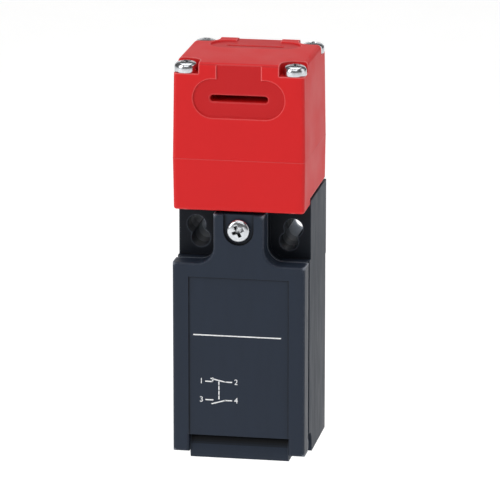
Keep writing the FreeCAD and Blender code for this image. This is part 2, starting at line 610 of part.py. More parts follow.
def plate_outline(grow, z0, z1):
    """Round clamp plate with an arm to each corner screw, grown by a clearance."""
    disc = rod(PLATE_RADIUS + grow, V(0, AXIS_Y, z0), V(0, AXIS_Y, z1))
    r = PLATE_ARM_RADIUS + grow
    arm = box(0, SCREW_HALF * math.sqrt(2), -r, r, z0, z1)
    tip = rod(r, V(SCREW_HALF * math.sqrt(2), 0, z0), V(SCREW_HALF * math.sqrt(2), 0, z1))
    spoke = arm.fuse(tip)
    spokes = [spoke.rotated(V(0, 0, 0), ALONG_Z, 45 + 90 * turn) for turn in range(4)]
    return fuse([disc] + [s.translated(V(0, AXIS_Y, 0)) for s in spokes])


def head_screw_places():
    return [V(sx * SCREW_HALF, AXIS_Y + sy * SCREW_HALF, SCREW_SEAT) for sx in (-1, 1) for sy in (-1, 1)]


def make_head_housing():
    head = head_outside()
    rear_edge = POCKET_FLOOR - EASE
    over_deck = box(-HALF_WIDTH - REACH, HALF_WIDTH + REACH, rear_edge, BACK + REACH, LIP_BOTTOM - REACH, DECK)
    inner = HEAD_HALF - LIP_WALL
    behind_lip = box(-inner, inner, HEAD_FRONT + LIP_WALL, rear_edge + REACH, LIP_BOTTOM - REACH, DECK)
    cuts = [over_deck, behind_lip, cam_chamber(), plate_outline(EASE * 2, LIP_BOTTOM - REACH, PLATE_TOP + EASE)]
    for place in head_screw_places():
        low = V(place.x, place.y, LIP_BOTTOM - REACH)
        cuts.append(rod(SCREW_RADIUS + EASE * 2, low, place + V(0, 0, EASE)))
    front_z = CAM_Z + KEY_OFFSET
    cuts.append(facing_front(key_opening()).translated(V(0, front_face_at(front_z), front_z)))
    cuts.append(key_opening().translated(V(0, AXIS_Y + KEY_OFFSET, HEAD_TOP)))
    return head.cut(cuts)


def make_head_screws():
    length = SCREW_SEAT - PLATE_BOTTOM
    screw = pan_screw(SCREW_RADIUS, length, PAN_RADIUS, PAN_HEIGHT, 2)
    return Part.makeCompound([screw.translated(place) for place in head_screw_places()])


def make_head_clamp_plate():
    plate = plate_outline(0, PLATE_BOTTOM, PLATE_TOP)
    r = NECK_RADIUS + EASE
    mouth = box(-r, r, AXIS_Y, AXIS_Y + PLATE_RADIUS + REACH, PLATE_BOTTOM - REACH, PLATE_TOP + REACH)
    saddle = rod(r, V(0, AXIS_Y, PLATE_BOTTOM - REACH), V(0, AXIS_Y, PLATE_TOP + REACH))
    holes = [rod(SCREW_RADIUS, V(p.x, p.y, PLATE_BOTTOM - REACH), V(p.x, p.y, PLATE_TOP + REACH))
             for p in head_screw_places()]
    return plate.cut([mouth, saddle] + holes)


def make_cam_retainer():
    """Saddle on the clamp plate that holds the cam's pin up in its slots and guides the plunger."""
    half_x = CAM_CHAMBER_HALF - EASE
    half_y = CAM_CHAMBER - EASE
    top = RETAINER_TOP
    base = box(-half_x, half_x, AXIS_Y - half_y, AXIS_Y + half_y, PLATE_TOP, top)
    r = CAM_PIN_RADIUS
    end = CAM_CHAMBER_HALF + PIN_SEAT
    wall = PIN_SEAT - EASE
    post = box(end - wall, end, AXIS_Y - r, AXIS_Y + r, PLATE_TOP + EASE, CAM_Z)
    tie = box(half_x - EASE, end, AXIS_Y - r, AXIS_Y + r, PLATE_TOP + EASE, top)
    saddle = fuse([base] + both_sides(post) + both_sides(tie))
    pin = rod(CAM_PIN_RADIUS + RUNNING, V(-end - REACH, AXIS_Y, CAM_Z), V(end + REACH, AXIS_Y, CAM_Z))
    flange = rod(NECK_FLANGE_RADIUS + EASE * 2, V(0, AXIS_Y, PLATE_TOP - REACH), V(0, AXIS_Y, NECK_TOP + EASE))
    guide = rod(PLUNGER_RADIUS + RUNNING, V(0, AXIS_Y, PLATE_TOP), V(0, AXIS_Y, top + REACH))
    return saddle.cut([pin, flange, guide])


def make_cam_pin():
    end = CAM_CHAMBER_HALF + PIN_SEAT
    return rod(CAM_PIN_RADIUS, V(-end, AXIS_Y, CAM_Z), V(end, AXIS_Y, CAM_Z))


def cam_point(radius, degrees):
    angle = math.radians(degrees)
    return V(-CAM_HALF_WIDTH, radius * math.cos(angle), radius * math.sin(angle))


def cam_arc(radius, start, end):
    middle = (start + end) / 2
    return Part.Arc(cam_point(radius, start), cam_point(radius, middle), cam_point(radius, end)).toShape()


def make_operating_cam():
    """Cam whose radius falls evenly with its turn, so the plunger rises in step with the key."""
    low = CAM_RADIUS - STROKE
    start = -90
    end = start + CAM_TURN
    steps = 10
    spiral = Part.BSplineCurve()
    spiral.interpolate([cam_point(CAM_RADIUS - STROKE * i / steps, start + CAM_TURN * i / steps)
                        for i in range(steps + 1)])
    rest_end = end + math.degrees(math.asin((PLUNGER_RADIUS + CAM_GAP) / low))
    rest_start = start - CAM_DWELL
    body = CAM_RADIUS - CAM_RELIEF
    rise = Part.makePolygon([cam_point(low, rest_end), cam_point(body, rest_end)])
    fall = Part.makePolygon([cam_point(body, rest_start), cam_point(CAM_RADIUS, rest_start)])
    outline = [cam_arc(CAM_RADIUS, rest_start, start), spiral.toShape(), cam_arc(low, end, rest_end),
               rise.Edges[0], cam_arc(body, rest_end, 360 + rest_start), fall.Edges[0]]
    cam = Part.Face(Part.Wire(outline)).extrude(V(2 * CAM_HALF_WIDTH, 0, 0))
    hub_half = CAM_HALF_WIDTH + HUB_LENGTH
    hub = rod(HUB_RADIUS, V(-hub_half, 0, 0), V(hub_half, 0, 0))
    out = CAM_RADIUS + REACH
    wide = CAM_HALF_WIDTH + REACH
    front_step = box(-wide, wide, -out, -CAM_STEP, CAM_LEDGE, out)
    top_step = box(-wide, wide, CAM_LEDGE, out, CAM_STEP, out)
    bore = rod(CAM_PIN_RADIUS + RUNNING, V(-wide, 0, 0), V(wide, 0, 0))
    return fuse([cam, hub]).cut([front_step, top_step, bore]).translated(V(0, AXIS_Y, CAM_Z))


def make_plunger():
    shoulder = PLUNGER_TIP - PLUNGER_RADIUS
    stem = rod(PLUNGER_RADIUS, V(0, AXIS_Y, CARRIER_TOP - PLUNGER_SOCKET), V(0, AXIS_Y, shoulder))
    dome = Part.makeSphere(PLUNGER_RADIUS, V(0, AXIS_Y, shoulder), ALONG_Z, 0, 90, 360)
    return fuse([stem, dome])


def make_plunger_seal():
    """Lip seal in the neck's mouth."""
    inner = PLUNGER_RADIUS + RUNNING
    groove = (inner + SEAL_RADIUS) / 2
    h = SEAL_HEIGHT
    section = [(inner, 0), (SEAL_RADIUS, 0), (SEAL_RADIUS, h), (groove + SEAL_LIP, h), (groove, h / 2),
               (inner + SEAL_LIP, h), (inner, h)]
    return turned_profile(section).translated(V(0, AXIS_Y, NECK_TOP - h))


def terminal_bay(bottom):
    """Cutter for one terminal's bay on the right, open to the front and the side."""
    inner = STRIP_INNER - EASE
    return box(inner, BLOCK_HALF + REACH, BLOCK_FRONT - REACH, TAB_BACK, bottom, bottom + TAB_HEIGHT)


def make_contact_block():
    block = box(-BLOCK_HALF, BLOCK_HALF, BLOCK_FRONT, BLOCK_BACK, BLOCK_BOTTOM, BLOCK_TOP)
    ear_half = PAN_RADIUS + EASE
    ear = box(BLOCK_SCREW_X - ear_half, BLOCK_SCREW_X + ear_half, BLOCK_SCREW_FACE, BLOCK_BACK,
              BLOCK_EAR_BOTTOM, BLOCK_BOTTOM + EASE)
    block = fuse([block] + both_sides(ear))
    half_x = CARRIER_HALF_WIDTH + CARRIER_PLAY
    half_y = CARRIER_HALF_DEPTH + CARRIER_PLAY
    channel = box(-half_x, half_x, BLOCK_FRONT - REACH, AXIS_Y + half_y, CHANNEL_FLOOR, BLOCK_TOP + REACH)
    lid_back = BLOCK_FRONT + LID_THICKNESS
    lid = box(-LID_HALF, LID_HALF, BLOCK_FRONT - REACH, lid_back, LID_BOTTOM, BLOCK_TOP + REACH)
    reach_x = LEG_OUTER + CARRIER_PLAY
    sweep = box(-reach_x, reach_x, TAB_BACK, AXIS_Y + CONTACT_HALF_DEPTH, LOWER_STRIP_BOTTOM, UPPER_STRIP_TOP)
    cuts = [channel, lid, sweep]
    for bottom in (LOWER_TAB, UPPER_STRIP_BOTTOM):
        cuts += both_sides(terminal_bay(bottom))
    thread_end = TAB_FRONT + TERMINAL_DEPTH + EASE
    for z in TERMINAL_HEIGHTS:
        thread = rod(TERMINAL_RADIUS, V(TERMINAL_X, TAB_BACK - EASE, z), V(TERMINAL_X, thread_end, z))
        cuts += both_sides(thread)
    hole = rod(SCREW_RADIUS + EASE, V(BLOCK_SCREW_X, BLOCK_FRONT, BLOCK_SCREW_Z),
               V(BLOCK_SCREW_X, BLOCK_BACK + REACH, BLOCK_SCREW_Z))
    return block.cut(cuts + both_sides(hole))


def make_contact_block_lid():
    """Snap-in strip that closes the carrier's channel, with a sight slot over the carrier."""
    half = LID_HALF - EASE
    plate = box(-half, half, BLOCK_FRONT, BLOCK_FRONT + LID_THICKNESS, LID_BOTTOM, BLOCK_TOP)
    slot = race_track(BRIDGE_SPACING + STROKE, BRIDGE_THICKNESS * 2, -REACH)
    cutter = Part.Face(slot).extrude(V(0, 0, 2 * REACH)).rotated(V(0, 0, 0), ALONG_Z, 90)
    middle = (LOWER_BRIDGE + UPPER_BRIDGE) / 2
    return plate.cut(facing_front(cutter).translated(V(0, BLOCK_FRONT, middle)))


def make_contact_block_screws():
    length = BLOCK_SCREW_END - EASE - BLOCK_SCREW_FACE
    screw = facing_front(pan_screw(SCREW_RADIUS, length, PAN_RADIUS, PAN_HEIGHT, 1))
    return Part.makeCompound(both_sides(screw.translated(V(BLOCK_SCREW_X, BLOCK_SCREW_FACE, BLOCK_SCREW_Z))))


def make_contact_carrier():
    x = CARRIER_HALF_WIDTH
    y = CARRIER_HALF_DEPTH
    body = box(-x, x, AXIS_Y - y, AXIS_Y + y, CARRIER_BOTTOM, CARRIER_TOP)
    half = BRIDGE_THICKNESS / 2
    window = box(-x - REACH, x + REACH, AXIS_Y - BRIDGE_HALF_WIDTH - EASE, AXIS_Y + BRIDGE_HALF_WIDTH + EASE,
                 LOWER_BRIDGE - half, UPPER_BRIDGE + half)
    seat = CARRIER_TOP - PLUNGER_SOCKET
    socket = rod(PLUNGER_RADIUS + EASE, V(0, AXIS_Y, seat), V(0, AXIS_Y, CARRIER_TOP + REACH))
    cup_radius = RETURN_SPRING_RADIUS + SPRING_WIRE + EASE * 2
    cup_top = CARRIER_BOTTOM + RETURN_SPRING_SOCKET
    cup = rod(cup_radius, V(0, AXIS_Y, CARRIER_BOTTOM - REACH), V(0, AXIS_Y, cup_top))
    return body.cut([window, socket, cup])


def make_contact_bridges():
    half = BRIDGE_THICKNESS / 2
    bars = [box(-BRIDGE_HALF_LENGTH, BRIDGE_HALF_LENGTH, AXIS_Y - BRIDGE_HALF_WIDTH, AXIS_Y + BRIDGE_HALF_WIDTH,
                z - half, z + half) for z in (LOWER_BRIDGE, UPPER_BRIDGE)]
    return Part.makeCompound(bars)


def contact_tips(lower_z, upper_z):
    """Four silver buttons, each given the height of its lower face."""
    tips = []
    for z in (lower_z, upper_z):
        tips += both_sides(rod(TIP_RADIUS, V(TIP_X, AXIS_Y, z), V(TIP_X, AXIS_Y, z + TIP_HEIGHT)))
    return Part.makeCompound(tips)


def make_bridge_tips():
    half = BRIDGE_THICKNESS / 2
    return contact_tips(LOWER_BRIDGE - half - TIP_HEIGHT, UPPER_BRIDGE + half)


def make_fixed_tips():
    return contact_tips(LOWER_STRIP_TOP, UPPER_STRIP_BOTTOM - TIP_HEIGHT)


def terminal_strip(leg_bottom, tab_bottom, z_screw):
    """Bent brass strip on the right: a tab under the terminal screw and a leg to the contact."""
    tab = box(STRIP_INNER, STRIP_OUTER, TAB_FRONT, TAB_BACK, tab_bottom, tab_bottom + TAB_HEIGHT)
    leg_end = AXIS_Y + BRIDGE_HALF_WIDTH
    leg = box(STRIP_INNER, LEG_OUTER, TAB_FRONT, leg_end, leg_bottom, leg_bottom + STRIP_THICKNESS)
    hole = rod(TERMINAL_RADIUS + EASE, V(TERMINAL_X, TAB_FRONT - REACH, z_screw),
               V(TERMINAL_X, TAB_BACK + REACH, z_screw))
    return fuse([tab, leg]).cut(hole)


def make_terminal_strips():
    upper, lower = TERMINAL_HEIGHTS
    top = terminal_strip(UPPER_STRIP_BOTTOM, UPPER_STRIP_BOTTOM, upper)
    low = terminal_strip(LOWER_STRIP_BOTTOM, LOWER_TAB, lower)
    return Part.makeCompound(both_sides(top) + both_sides(low))


def at_terminals(shape):
    """Copies of a piece modelled about the origin, one at each terminal."""
    places = [V(side * TERMINAL_X, 0, z) for side in (-1, 1) for z in TERMINAL_HEIGHTS]
    return Part.makeCompound([shape.translated(place) for place in places])


def make_terminal_screws():
    length = TERMINAL_DEPTH + CLAMP_THICKNESS
    screw = pan_screw(TERMINAL_RADIUS, length, TERMINAL_HEAD_RADIUS, TERMINAL_HEAD, 1)
    return at_terminals(facing_front(screw).translated(V(0, CLAMP_FRONT, 0)))


def make_terminal_clamps():
    """Saddle washers with their side edges turned forward around the screw head."""
    w = CLAMP_HALF
    h = CLAMP_HEIGHT / 2
    plate = box(-w, w, CLAMP_FRONT, TAB_FRONT, -h, h)
    lip = box(w - CLAMP_LIP, w, CLAMP_FRONT - CLAMP_LIP, TAB_FRONT, -h, h)
    hole = rod(TERMINAL_RADIUS + EASE, V(0, CLAMP_FRONT - REACH, 0), V(0, TAB_FRONT + REACH, 0))
    return at_terminals(fuse([plate] + both_sides(lip)).cut(hole))


def make_return_spring():
    length = CARRIER_FOOT + RETURN_SPRING_SOCKET
    spring = coil_spring(RETURN_SPRING_RADIUS, SPRING_WIRE, length, SPRING_TURNS)
    return spring.translated(V(0, AXIS_Y, CHANNEL_FLOOR))


def make_contact_spring():
    length = BRIDGE_SPACING - BRIDGE_THICKNESS
    spring = coil_spring(CONTACT_SPRING_RADIUS, SPRING_WIRE, length, SPRING_TURNS)
    return spring.translated(V(0, AXIS_Y, LOWER_BRIDGE + BRIDGE_THICKNESS / 2))


PIECES = {
    "case": make_case,
    "cover": make_cover,
    "cover_gasket": make_cover_gasket,
    "cover_screw": make_cover_screw,
    "cover_screw_insert": make_cover_screw_insert,
    "head_housing": make_head_housing,
    "head_screws": make_head_screws,
    "head_clamp_plate": make_head_clamp_plate,
    "cam_retainer": make_cam_retainer,
    "cam_pin": make_cam_pin,
    "operating_cam": make_operating_cam,
    "plunger": make_plunger,
    "plunger_seal": make_plunger_seal,
    "contact_block": make_contact_block,
    "contact_block_lid": make_contact_block_lid,
    "contact_block_screws": make_contact_block_screws,
    "contact_carrier": make_contact_carrier,
    "contact_bridges": make_contact_bridges,
    "bridge_tips": make_bridge_tips,
    "fixed_tips": make_fixed_tips,
    "terminal_strips": make_terminal_strips,
    "terminal_screws": make_terminal_screws,
    "terminal_clamps": make_terminal_clamps,
    "return_spring": make_return_spring,
    "contact_spring": make_contact_spring,
}

os.makedirs("parts", exist_ok=True)
for name, make in PIECES.items():
    shape = make()
    shape.exportStep(f"parts/{name}.step")
    print(f"{name}: {len(shape.Solids)} solids, {shape.Volume:.1f} mm3, valid {shape.isValid()}")
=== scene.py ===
# %% [markdown]
# # A safety interlock switch, dressed in Blender
# The object is a narrow machine-safety switch: a black case with a screw-down cover, and a red head with two
# slots for a flat key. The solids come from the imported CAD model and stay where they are. This lesson gives
# them their finishes, adds what a drawing leaves out, such as screw recesses, threads and print, and lights
# the whole like a catalogue photograph.

# %% Load the frame
import json
import math

import bpy
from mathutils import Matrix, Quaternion, Vector


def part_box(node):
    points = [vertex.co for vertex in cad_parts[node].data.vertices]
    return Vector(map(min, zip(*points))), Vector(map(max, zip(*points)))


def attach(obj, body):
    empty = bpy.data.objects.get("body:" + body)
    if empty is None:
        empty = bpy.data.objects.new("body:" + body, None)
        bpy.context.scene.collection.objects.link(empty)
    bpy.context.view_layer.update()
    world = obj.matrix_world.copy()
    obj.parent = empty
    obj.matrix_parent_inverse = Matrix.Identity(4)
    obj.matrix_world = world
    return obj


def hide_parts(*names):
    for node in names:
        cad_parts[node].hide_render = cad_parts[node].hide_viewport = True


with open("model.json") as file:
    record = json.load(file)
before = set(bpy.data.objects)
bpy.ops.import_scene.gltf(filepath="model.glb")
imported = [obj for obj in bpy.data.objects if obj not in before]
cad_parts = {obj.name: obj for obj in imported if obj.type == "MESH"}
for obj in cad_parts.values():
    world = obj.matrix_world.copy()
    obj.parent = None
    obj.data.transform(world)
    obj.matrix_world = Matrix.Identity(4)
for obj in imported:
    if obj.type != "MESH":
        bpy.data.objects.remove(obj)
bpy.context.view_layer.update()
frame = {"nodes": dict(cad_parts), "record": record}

# %% [markdown]
# ## Small helpers
# Drawings of a switch are in millimetres and Blender works in metres, so one function turns millimetres into
# metres and another turns them back. Colours are picked as sRGB hex values, as on a colour card, and shaders want
# linear light, so a third converts them. One more adds a shader node, sets its values and makes its links in one
# line: a socket given as a value is filled in, and a socket given as an output is linked. A texture's scale is a
# number of repeats per metre, so the last one works it out from the size of the grain.

# %% Helpers
def mm(*values):
    return Vector([v / 1000 for v in values]) if len(values) > 1 else values[0] / 1000


def to_mm(metres):
    return 1000 * metres


def linear(hex_code):
    parts = [int(hex_code[i:i + 2], 16) / 255 for i in (1, 3, 5)]
    return tuple(p / 12.92 if p <= 0.04045 else ((p + 0.055) / 1.055) ** 2.4 for p in parts) + (1.0,)


def add_node(tree, kind, inputs=None, **settings):
    node = tree.nodes.new(kind)
    for name, value in settings.items():
        setattr(node, name, value)
    for name, value in (inputs or {}).items():
        if isinstance(value, bpy.types.NodeSocket):
            tree.links.new(value, node.inputs[name])
        else:
            node.inputs[name].default_value = value
    return node


def new_finish(name):
    finish = bpy.data.materials.new(name)
    finish.use_nodes = True
    tree = finish.node_tree
    shader = tree.nodes["Principled BSDF"]
    return finish, tree, shader


def per_metre(size_mm):
    return 1000 / size_mm


print("helpers ready, 1 mm =", mm(1.0), "m")

# %% [markdown]
# ## Edges and corners
# Painted highlights follow the outer edges of a piece, and painted shade its corners. They could be painted on by
# hand;
# here the Ambient Occlusion node finds where they go. It tells which share of the space round a point is open, from
# nought to one. Looking inwards, it finds the outer edges alone, and looking outwards, the corners and narrow places.
# A Map Range node turns that share into a mask, which starts at one value and is full at another.

# %% Edge mask
def edge_mask(tree, reach_mm, start, full, inside):
    open_share = add_node(tree, "ShaderNodeAmbientOcclusion", {"Distance": mm(reach_mm)}, samples=8, inside=inside,
                          only_local=True).outputs["AO"]
    return add_node(tree, "ShaderNodeMapRange", {"Value": open_share, "From Min": start, "From Max": full}).outputs[0]


print("edge mask ready")

# %% [markdown]
# ## Faces of a moulding
# Every moulded piece shares two traits. Its outer edges are slightly round and get pale lines of painted highlight,
# and its faces carry the fine grain of the spark-eroded tool. The Bevel node rounds the shading at an edge, in
# millimetres, and the edge mask, looking inwards, lays the painted highlight there. The grain is a fine noise used as
# bump, with faint clouds where the melt flowed, which a Mapping node can stretch into streaks. The Mix node has
# sockets for numbers, vectors and colours under the same names, so its colour sockets are picked by their places.

# %% Moulded finish
MIX_A, MIX_B, MIX_COLOUR = 6, 7, 2
CLOUD_MM, GLOSS_SPREAD = 9.0, 0.05


def moulded_finish(name, colour, mottle, edge_highlight_colour, roughness, grain_mm, grain_depth_mm, edge_mm,
                   edge_reach=(0.33, 0.93, 0.62), flow=(1.0, 1.0, 1.0), ior=1.5, specular=0.5):
    finish, tree, shader = new_finish(name)
    place = add_node(tree, "ShaderNodeTexCoord").outputs["Object"]
    rounded = add_node(tree, "ShaderNodeBevel", {"Radius": mm(edge_mm)}, samples=6).outputs[0]
    along_flow = add_node(tree, "ShaderNodeMapping", {"Vector": place, "Scale": flow}).outputs[0]
    clouds = add_node(tree, "ShaderNodeTexNoise", {"Vector": along_flow, "Scale": per_metre(CLOUD_MM), "Detail": 3.0})
    tint = add_node(tree, "ShaderNodeMix", {"Factor": clouds.outputs[0], MIX_A: linear(colour),
                                            MIX_B: linear(mottle)}, data_type="RGBA")
    # painted highlight: a pale colour laid along the outer edges by the inward edge mask
    highlighted = add_node(tree, "ShaderNodeMix", {"Factor": edge_mask(tree, *edge_reach, inside=True),
                                            MIX_A: tint.outputs[MIX_COLOUR], MIX_B: linear(edge_highlight_colour)},
                    data_type="RGBA")
    gloss = add_node(tree, "ShaderNodeMapRange", {"Value": clouds.outputs[0], "From Min": 0.3, "From Max": 0.7,
                                                  "To Min": roughness - GLOSS_SPREAD,
                                                  "To Max": roughness + GLOSS_SPREAD})
    grain = add_node(tree, "ShaderNodeTexNoise", {"Vector": place, "Scale": per_metre(grain_mm), "Detail": 2.0})
    bump = add_node(tree, "ShaderNodeBump", {"Height": grain.outputs[0], "Distance": mm(grain_depth_mm),
                                             "Strength": 0.6, "Normal": rounded})
    tree.links.new(highlighted.outputs[MIX_COLOUR], shader.inputs["Base Color"])
    tree.links.new(gloss.outputs[0], shader.inputs["Roughness"])
    tree.links.new(bump.outputs[0], shader.inputs["Normal"])
    shader.inputs["IOR"].default_value = ior
    shader.inputs["Specular IOR Level"].default_value = specular
    return finish


print("moulded finish ready, clouds of", CLOUD_MM, "mm")

# %% [markdown]
# ## Red moulded plastic of the head
# The head is glass-filled thermoplastic polyester. That gives the eye a saturated red with a soft, slightly hazy
# gloss and a fine grain; the pink lines along its edges are painted highlights. Polyester has an IOR near 1.5; the
# specular level is lowered, because the grain breaks up the mirror image.

# %% Red plastic
# real grain is near 0.1 mm; 0.35 mm is as fine as this render can show
# the third colour, a pale pink, is the painted highlight along the edges
red_plastic = moulded_finish("red_moulded_polyester", "#CB1518", "#D2191C", "#E87070", roughness=0.50, grain_mm=0.35,
                             grain_depth_mm=0.012, edge_mm=0.20, ior=1.5, specular=0.25)
print("made", red_plastic.name)

# %% [markdown]
# ## Duller floors of the key tracks
# The shallow tracks round the two key slots come from separate inserts in the mould, and these leave a duller,
# darker red. The floors lie at known depths in the head, so a comparison of the Object coordinates along each axis
# finds them. The last Mix of the finish just made lays the painted edge highlights over everything else, so the
# darker red is slipped in below it.

# %% Track floors
def within(tree, low_mm, high_mm):
    place = add_node(tree, "ShaderNodeTexCoord").outputs["Object"]
    axes = add_node(tree, "ShaderNodeSeparateXYZ", {"Vector": place}).outputs
    hits = [add_node(tree, "ShaderNodeMath", {0: axis, 1: mm((a + b) / 2), 2: mm((b - a) / 2)},
                     operation="COMPARE").outputs[0] for axis, a, b in zip(axes, low_mm, high_mm)]
    pair = add_node(tree, "ShaderNodeMath", {0: hits[0], 1: hits[1]}, operation="MULTIPLY").outputs[0]
    return add_node(tree, "ShaderNodeMath", {0: pair, 1: hits[2]}, operation="MULTIPLY").outputs[0]


def lay_colour(socket, mask, colour):
    tree = socket.id_data
    below = socket.links[0].from_socket
    mixed = add_node(tree, "ShaderNodeMix", {"Factor": mask, MIX_A: below, MIX_B: linear(colour)}, data_type="RGBA")
    tree.links.new(mixed.outputs[MIX_COLOUR], socket)


def highlight_mix(finish):
    return finish.node_tree.nodes["Principled BSDF"].inputs["Base Color"].links[0].from_node


TRACK_HALF, FRONT_FLOOR, TOP_FLOOR, MARGIN = 10.6, -14.36, 90.75, 0.12
FRONT_TRACK = ((-TRACK_HALF, FRONT_FLOOR - MARGIN, 78.6), (TRACK_HALF, FRONT_FLOOR + MARGIN, 92.0))
TOP_TRACK = ((-TRACK_HALF, 2.0, TOP_FLOOR - MARGIN), (TRACK_HALF, 16.0, TOP_FLOOR + MARGIN))
under_edges = highlight_mix(red_plastic).inputs[MIX_A]
for low, high in (FRONT_TRACK, TOP_TRACK):
    lay_colour(under_edges, within(red_plastic.node_tree, low, high), "#BE1519")
print("track floors at Y", FRONT_FLOOR, "and Z", TOP_FLOOR, "mm")

# %% [markdown]
# ## Black moulded plastic of the case and the cover
# The case is glass-filled polyamide, dyed black in the mass. It never looks quite black: its grain spreads the
# light of the room into a cold grey, with faint streaks up and down where the melt ran. The cover's edges get a
# bright painted highlight and the case's edges a dimmer one, and so the case gets a finish of its own.

# %% Black plastic
STREAKS = (5.0, 5.0, 1.0)
# painted highlight: bright pale lines along the cover's edges, dim ones along the case's
cover_black = moulded_finish("black_polyamide_bright_edge_highlight", "#1F2734", "#242D3B", "#868C96", roughness=0.48,
                             grain_mm=0.30, grain_depth_mm=0.012, edge_mm=0.22, edge_reach=(0.9, 0.76, 0.52),
                             flow=STREAKS, ior=1.53, specular=0.19)
case_black = moulded_finish("black_polyamide_dim_edge_highlight", "#1F2733", "#242C39", "#40464F", roughness=0.53,
                            grain_mm=0.30, grain_depth_mm=0.012, edge_mm=0.22, flow=STREAKS, ior=1.53, specular=0.15)
print("made", cover_black.name, "and", case_black.name)

# %% [markdown]
# ## Painted shade in recesses
# The screw's channel, the corners and other narrow places of the case and the cover get painted shade, nearly
# black. The edge mask, looking outwards this time, finds these narrow places.

# %% Recesses
PAINTED_SHADE_BLACK = "#05070B"
for finish in (cover_black, case_black):
    # painted shade: near-black where the outward edge mask finds corners and narrow places
    narrow = edge_mask(finish.node_tree, reach_mm=3.0, start=0.95, full=0.50, inside=False)
    lay_colour(highlight_mix(finish).inputs[MIX_A], narrow, PAINTED_SHADE_BLACK)
print("recesses of two finishes kept black")

# %% [markdown]
# ## Seats, fixing holes and the nook below
# Three places of the case get painted light and shade, and boxes find them. The seats beside the cover's tongue lie
# in the shade under the head; they are too wide for the mask and get painted shade as dark as the corners. The fixing
# holes behind them get painted light on their walls, lighter towards the back, where light comes through from behind.
# Under the cover's lower edge, over the case's front lip, a painted shadow darkens the nook upwards. The last two go
# in steps.

# %% Seats, holes and nook
SHADED_SEATS = ((-15.1, -9.5, 45.6), (15.1, -6.4, 59.0))
HOLE_SIDE, HOLE_BACK, HOLE_FOOT, HOLE_TOP = 14.0, 14.9, 46.0, 56.0
HOLE_LIGHT_TONES = ((-6.4, "#3A4049"), (-2.0, "#666E7A"), (2.0, "#8F97A3"), (6.0, "#B6BEC8"))
NOOK_SIDE, NOOK_FRONT, NOOK_BACK, NOOK_TOP = 11.5, -14.3, -9.7, 6.0
NOOK_SHADOW_TONES = ((3.25, "#151B24"), (3.7, "#0B1017"), (4.15, PAINTED_SHADE_BLACK))
tree = case_black.node_tree
under_edges = highlight_mix(case_black).inputs[MIX_A]
# painted shade on the seats under the head
lay_colour(under_edges, within(tree, *SHADED_SEATS), "#0F141C")
# painted light in the fixing holes, in steps, lighter towards the back
for depth, colour in HOLE_LIGHT_TONES:
    lit_walls = within(tree, (-HOLE_SIDE, depth, HOLE_FOOT), (HOLE_SIDE, HOLE_BACK, HOLE_TOP))
    lay_colour(under_edges, lit_walls, colour)
# painted shadow in the nook under the cover's edge, in steps, darker upwards
for height, colour in NOOK_SHADOW_TONES:
    shadowed = within(tree, (-NOOK_SIDE, NOOK_FRONT, height), (NOOK_SIDE, NOOK_BACK, NOOK_TOP))
    lay_colour(under_edges, shadowed, colour)
print("seats toned, with", len(HOLE_LIGHT_TONES), "steps in the holes and", len(NOOK_SHADOW_TONES), "in the nook")

# %% [markdown]
# ## Edges without painted highlight
# The rim of the screw's channel and the frame of the sunk label field get no painted edge highlight. The mask of the
# outer edges is multiplied by nought inside two boxes on the cover.

# %% Spared edges
SCREW_CHANNEL = ((-4.6, -16.0, 47.0), (4.6, -9.0, 60.0))
LABEL_FIELD = ((-12.2, -16.0, 0.0), (12.2, -9.0, 44.0))
tree = cover_black.node_tree
edge_share = highlight_mix(cover_black).inputs["Factor"]
for low, high in (SCREW_CHANNEL, LABEL_FIELD):
    outside = add_node(tree, "ShaderNodeMath", {0: 1.0, 1: within(tree, low, high)}, operation="SUBTRACT").outputs[0]
    spared = add_node(tree, "ShaderNodeMath", {0: edge_share.links[0].from_socket, 1: outside}, operation="MULTIPLY")
    tree.links.new(spared.outputs[0], edge_share)
print("edges spared in two boxes of the cover")

# %% [markdown]
# ## Plated steel, brass and silver
# The screws are steel with a bright zinc coat: a mirror dulled by fine pits and the marks of the barrel they were
# plated in. The strips are rolled brass, the contact tips are silver and the springs are drawn wire. All are
# metals, so the base colour is the colour of the reflection, and a fine noise breaks up the roughness.

# %% Metals
BRIGHT_SHARE, DULL_SHARE = 0.7, 1.4  # of a metal's roughness, between and on its marks


def metal_finish(name, colour, shade, roughness, mark_mm, mark_depth_mm, stretch=(1.0, 1.0, 1.0)):
    finish, tree, shader = new_finish(name)
    place = add_node(tree, "ShaderNodeTexCoord").outputs["Object"]
    run = add_node(tree, "ShaderNodeMapping", {"Vector": place, "Scale": stretch}).outputs[0]
    marks = add_node(tree, "ShaderNodeTexNoise", {"Vector": run, "Scale": per_metre(mark_mm), "Detail": 4.0})
    tint = add_node(tree, "ShaderNodeMix", {"Factor": marks.outputs[0], MIX_A: linear(colour), MIX_B: linear(shade)},
                    data_type="RGBA")
    gloss = add_node(tree, "ShaderNodeMapRange", {"Value": marks.outputs[0], "To Min": roughness * BRIGHT_SHARE,
                                                  "To Max": roughness * DULL_SHARE})
    bump = add_node(tree, "ShaderNodeBump", {"Height": marks.outputs[0], "Distance": mm(mark_depth_mm),
                                             "Strength": 0.5})
    tree.links.new(tint.outputs[MIX_COLOUR], shader.inputs["Base Color"])
    tree.links.new(gloss.outputs[0], shader.inputs["Roughness"])
    tree.links.new(bump.outputs[0], shader.inputs["Normal"])
    shader.inputs["Metallic"].default_value = 1.0
    return finish


zinc_steel = metal_finish("bright_zinc_on_steel", "#DADDE0", "#B9BDC2", roughness=0.20, mark_mm=0.5,
                          mark_depth_mm=0.006)
